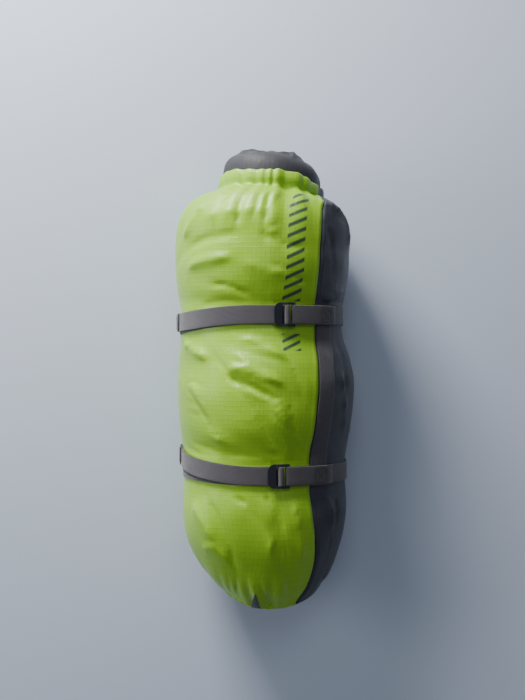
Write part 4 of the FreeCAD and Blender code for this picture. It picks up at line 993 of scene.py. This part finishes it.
def cord_line():
    """Up one leg, a small bend, round the mouth, and down the other leg, in the mouth's plane."""
    drop = -math.sqrt((TUNNEL + CORD_TURN) ** 2 - (LEG + CORD_TURN) ** 2)
    centre = np.array([LEG + CORD_TURN, drop])
    meet = centre * (TUNNEL / (TUNNEL + CORD_TURN))
    first, last = math.pi, math.atan2(meet[1] - drop, meet[0] - centre[0])
    bend_at = np.linspace(first, last, 12)[:, None]
    bend = centre + CORD_TURN * np.concatenate([np.cos(bend_at), np.sin(bend_at)], 1)
    leg = np.stack([np.full(30, LEG), np.linspace(-HANG, drop, 30)], -1)
    low = math.atan2(meet[1], meet[0])
    ring_at = np.linspace(low, math.pi / 2, 120)[:, None]
    ring = TUNNEL * np.concatenate([np.cos(ring_at), np.sin(ring_at)], 1)
    right_half = np.concatenate([leg[:-1], bend[:-1], ring])
    return np.concatenate([right_half, (right_half * (-1, 1))[::-1][1:]])


def tube_along(name, path, radius, braid, finish, ring=False):
    """A round tube along points, its radius rippled by two opposed helices."""
    ahead = np.gradient(path, axis=0)
    if ring:
        ahead = np.roll(path, -1, axis=0) - np.roll(path, 1, axis=0)
    ahead = unit(ahead)
    first = unit(np.cross(ahead, np.array([0.31, 0.94, 0.13])))
    second = np.cross(ahead, first)
    b = np.radians(full_turn(16))[None, :]
    along = run_length(path)[:, None]
    twist = 2 * np.pi * along / 5.0
    ripple = 1 + braid * np.maximum(np.sin(4 * b + twist), np.sin(4 * b - twist))
    grid = path[:, None] + radius * ripple[..., None] * (
        first[:, None] * np.cos(b)[..., None] + second[:, None] * np.sin(b)[..., None])
    uv = paired(np.degrees(b) * 0.02, along)
    return build(name, grid, uv, [finish], tube=True, ring=ring, caps=() if ring else ("first", "last"))


flat = cord_line()
fine = np.linspace(0, run_length(flat)[-1], 900)
flat = np.stack([np.interp(fine, run_length(flat), flat[:, k]) for k in (0, 1)], -1)
cord_path = end_point(MOUTH, flat[:, 0], 0.0 * flat[:, 0], flat[:, 1])
cord_piece = tube_along("drawcord_braid", cord_path, CORD * 0.94, 0.06, cord_finish)
place(cord_piece, "sack", ["drawcord"], "cord")
print("drawcord length: %.0f mm" % run_length(cord_path)[-1])

t = np.linspace(0, 2 * np.pi, 120, endpoint=False)
trefoil = np.stack([np.sin(t) + 2 * np.sin(2 * t), np.cos(t) - 2 * np.cos(2 * t),
                    -1.4 * np.sin(3 * t)], -1)
knots = []
for side in (-1, 1):
    spot = trefoil * 0.62
    path = end_point(MOUTH, spot[:, 0] + side * 3.1, spot[:, 2], spot[:, 1] - HANG)
    knots.append(tube_along("knot_%d" % (side + 2), path, CORD * 0.86, 0.05, cord_finish, ring=True))
place(knots[0], "sack", ["cord_knots"], "cord")
place(knots[1], "sack", [], "cord")

# %% [markdown]
# The dust flap is a cap of fabric over the packed goods, boxy on the left and rounder on the right,
# with a rolled and bound edge. Its formula is the CAD model's: at each level the reach is
# (1 - level^n)^(1/n), and n changes round it. Dents, a dart and one overlapped edge break it up.

# %% Dust flap
FLAP_REACH, FLAP_TALL, FLAP_EDGE_AT = 54.6, 30.0, 7.2
ROLL_REACH, ROLL_AT = 53.3, 6.6


def flap_surface(angle, tilt):
    """angle counts from the right; tilt is 0 at the edge and 90 degrees at the top."""
    full = 3.0 - 0.6 * np.cos(angle)
    level, reach = np.sin(tilt) ** (2 / full), np.cos(tilt) ** (2 / full)
    return FLAP_REACH * reach * np.cos(angle), FLAP_REACH * reach * np.sin(angle), FLAP_TALL * level


FLAP_FOLDS = ((-44, -30, -14, -14, 1.6, 5, 2), (-18, -52, -4, -20, -1.5, 4, 3),
              (26, -48, 10, -16, 1.5, 5, -3), (46, -28, 20, -8, -1.5, 5, 2),
              (-44, -32, 0, -42, -1.3, 5, -3), (4, -44, 42, -30, 1.4, 5, 3),
              (-50, 20, 10, 6, -1.6, 6, 4), (-20, 44, 8, -30, 1.3, 5, 6), (14, 40, 38, -10, -1.5, 5, -5),
              (-44, -14, 6, -34, 1.2, 6, 4), (-6, 48, -34, 20, -1.4, 5, 2), (24, -8, 50, 8, 1.2, 5, 3),
              (-30, 30, 30, 34, 1.4, 7, 3), (-46, 34, -18, 50, -1.2, 5, 2),
              (10, -20, 46, -34, -1.3, 6, 3))
angle = np.radians(full_turn(180))[None, :]
tilt = np.radians(np.concatenate([np.linspace(0, 84, 52), np.linspace(85.5, 89.7, 5)]))[:, None]
flap_x, flap_y, flap_out = np.broadcast_arrays(*flap_surface(angle, tilt))
dent = np.zeros_like(flap_x)
for x0, y0, x1, y1, height, wide, bow in FLAP_FOLDS:
    dent = dent + fold(flap_x * 1.15, flap_y * 1.15, (x0, y0), (x1, y1), 2.4 * height, 0.75 * wide, bow)
step_line = flap_x * 0.93 + flap_y * 0.36 - 39.5
dent = dent + 1.5 * ease((step_line + 0.4) / 0.8) * np.exp(-np.maximum(step_line, 0) / 14) * (flap_y > 0)
dent = dent + 0.7 * np.sin(6 * angle + 1.2 * np.sin(2 * angle)) * np.cos(tilt) ** 2
shrink = 1 - 0.016 * (1 - np.sin(tilt))
base_grid = end_point(MOUTH, flap_x * shrink, FLAP_EDGE_AT + 1.05 * flap_out, -flap_y * shrink)
middle_spot = end_point(MOUTH, 0.0, 4.0, 0.0)
flap_grid = base_grid + unit(base_grid - middle_spot) * (dent * np.cos(tilt * 0.98) ** 0.3)[..., None]
flap = build("flap_dome", flap_grid, np.stack([flap_x + 100, flap_y + 100], -1), [flap_cloth],
             tube=True, caps=("last",))
wall(flap, FABRIC)
place(flap, "flap", ["dust_flap"], "slate_ripstop")

a = np.radians(full_turn(240))[:, None]
b = np.radians(full_turn(12))[None, :]
swell = 1.22 + 0.08 * np.sin(40 * a)
reach = ROLL_REACH + swell * np.cos(b)
roll_grid = end_point(MOUTH, reach * np.sin(a), ROLL_AT + swell * np.sin(b), reach * np.cos(a))
roll_uv = paired(np.degrees(b) * 0.03, a * ROLL_REACH)
roll = build("flap_edge_roll", roll_grid, roll_uv, [tape_weave], tube=True, ring=True)
place(roll, "flap", ["flap_binding"], "binding_tape")

# %% [markdown]
# Under the flap the end of the packed roll shows: fabric wound round itself, so a spiral groove runs
# from the rim to the middle. The load behind it is a plain tube that nothing shows, but it is whole,
# because the goods carry the sack's shape and weight.

# %% Packed goods
GOODS_INSET, GOODS_REACH, GOODS_DOME = 6.5, 46.5, 26.0
GROOVE_DEEP, SPIRAL_TURNS = 2.6, 4.6
body_y = np.linspace(rows[1, 0], rows[-3, 0], 60)
g = girth(body_y)
load_angle = full_turn(144)[None, :]
g_in = np.repeat(g[:, None, :], 144, axis=1)
g_in[..., 3:6] -= GOODS_INSET
side, high, _, _ = outline(g_in, load_angle)
right, _, up = lean_axes(g_in[..., 7], g_in[..., 8])
trunk = np.stack([g_in[..., 1], g_in[..., 0], g_in[..., 2]], -1)
trunk = trunk + right * side[..., None] + up * high[..., None]
dome_tilt = np.radians(np.concatenate([np.linspace(-16, 80, 48), np.linspace(82, 89.5, 6)]))[:, None]
a = np.radians(load_angle)
out_by = np.where(dome_tilt < 0, dome_tilt * 40, GOODS_DOME * np.sin(dome_tilt))
groove_at = (a / (2 * np.pi) + SPIRAL_TURNS * np.cos(np.maximum(dome_tilt, 0))) % 1.0
groove = np.exp(-((groove_at - 0.5) / 0.13) ** 2) * ease((dome_tilt + 0.05) / 0.3)
reach = GOODS_REACH * np.cos(np.maximum(dome_tilt, 0)) + 0 * a
lump = 0.8 * np.sin(5 * a + 2.0 * np.sin(2 * a)) * np.cos(np.maximum(dome_tilt, 0))
head = end_point(MOUTH, reach * np.sin(a), 4.0 + out_by - GROOVE_DEEP * groove + lump, reach * np.cos(a))
load_grid = np.concatenate([trunk, head])
load_uv = paired(load_angle * 1.6, run_length(load_grid))
load = build("packed_goods", load_grid, load_uv, [stuffing_finish], tube=True, caps=("first", "last"))
place(load, "sack", ["packed_load"], "stuffed_goods")

# %% [markdown]
# The base is a round of the same cloth, pushed out by the load, with a narrow tape rolled over its
# seam. Its wrinkles run towards the seam. A corner of folded tape stands out of that seam.

# %% Base
BASE_REACH, BASE_EDGE, BASE_RISE = 56.5, 1.9, 11.0
BINDING_REACH, BINDING_THICK = 57.9, 1.5
TAB_TALL, TAB_HALF_WIDE, TAB_PLACE = 11.5, 4.5, -15.0
base_angle = full_turn(120)[None, :]
base_share = np.linspace(1.0, 0.02, 34)[:, None]
bulge_by = BASE_EDGE + BASE_RISE * (1 - base_share ** 2)
wrinkle = pleats(base_angle, *BASE_PLEATS) * 1.1 * base_share ** 3
wrinkle = wrinkle + 1.0 * np.sin(np.radians(base_angle) * 3 + 4 * base_share) * np.sin(base_share * 3.1)
reach = BASE_REACH * base_share
s, c = sine_cosine(base_angle)
base_grid = end_point(BASE, reach * s, -(bulge_by + wrinkle), reach * c)
above_ground(base_grid, 0.3)
base_uv = np.stack([reach * s + 100, reach * c + 100], -1)
base = build("base_round", base_grid, base_uv, [slate], tube=True, caps=("last",))
wall(base, FABRIC)
finer(base)
place(base, "sack", ["base_panel"], "slate_ripstop")

a = full_turn(300)[:, None]
b = np.radians(full_turn(14))[None, :]
swell = BINDING_THICK + 0.08 * pleats(a, *BASE_PLEATS)
reach = BINDING_REACH + 0.2 * pleats(a, *BASE_PLEATS) + swell * np.cos(b)
s, c = sine_cosine(a)
binding_grid = end_point(BASE, reach * s, -BASE_EDGE + swell * np.sin(b), reach * c)
above_ground(binding_grid, 0.2)
binding_uv = paired(np.degrees(b) * 0.03, a * 1.02)
binding = build("base_edge_roll", binding_grid, binding_uv, [tape_weave], tube=True, ring=True)
place(binding, "sack", ["base_binding"], "binding_tape")

up_share = np.linspace(0, 1, 14)[:, None]
tab_across = 0.5 + (TAB_HALF_WIDE * (1 - up_share) + 0.5) * PROFILE_ACROSS + 3.0 * up_share
tab_y = BASE_END + 0.8 + TAB_TALL * up_share + 0 * tab_across
tab_angle = TAB_PLACE + np.degrees(tab_across / BASE["radius"])
tab_up = 2.6 + 0.8 * PROFILE_UP + 1.2 * up_share
tab_grid = skin(tab_y, tab_angle) + skin_out(tab_y, tab_angle) * tab_up[..., None]
tab_uv = paired(tab_across, tab_y + 300)
tab = build("base_tape_tab", tab_grid, tab_uv, [tape_weave], tube=True, caps=("first", "last"))
place(tab, "sack", ["base_tab"], "binding_tape")

# %% [markdown]
# The hard pieces and the sewing thread keep their CAD shapes and only get finishes: dark moulded
# plastic for the locks, bright metal for the eyelet and the spring, and matt thread.

# %% Finishes on the CAD parts
KEPT = {"cord_lock_body": moulded, "cord_lock_button": moulded, "cord_eyelet": bright_metal,
        "cord_lock_spring": bright_metal}
for name in STRAPS:
    KEPT[name + "_ladder_lock"] = moulded
    KEPT[name + "_box_stitching"] = KEPT[name + "_tail_stitching"] = thread_finish
for name, finish in KEPT.items():
    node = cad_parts[name]
    node.data.materials.clear()
    node.data.materials.append(finish)
print("CAD parts kept:", len(KEPT))

# %% [markdown]
# Last, the box round everything that renders, the floor aside, is printed in metres.

# %% Sizes, and the end
low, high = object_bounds()
print("visual box in metres:", [round(float(v), 4) for v in (*low, *high)])
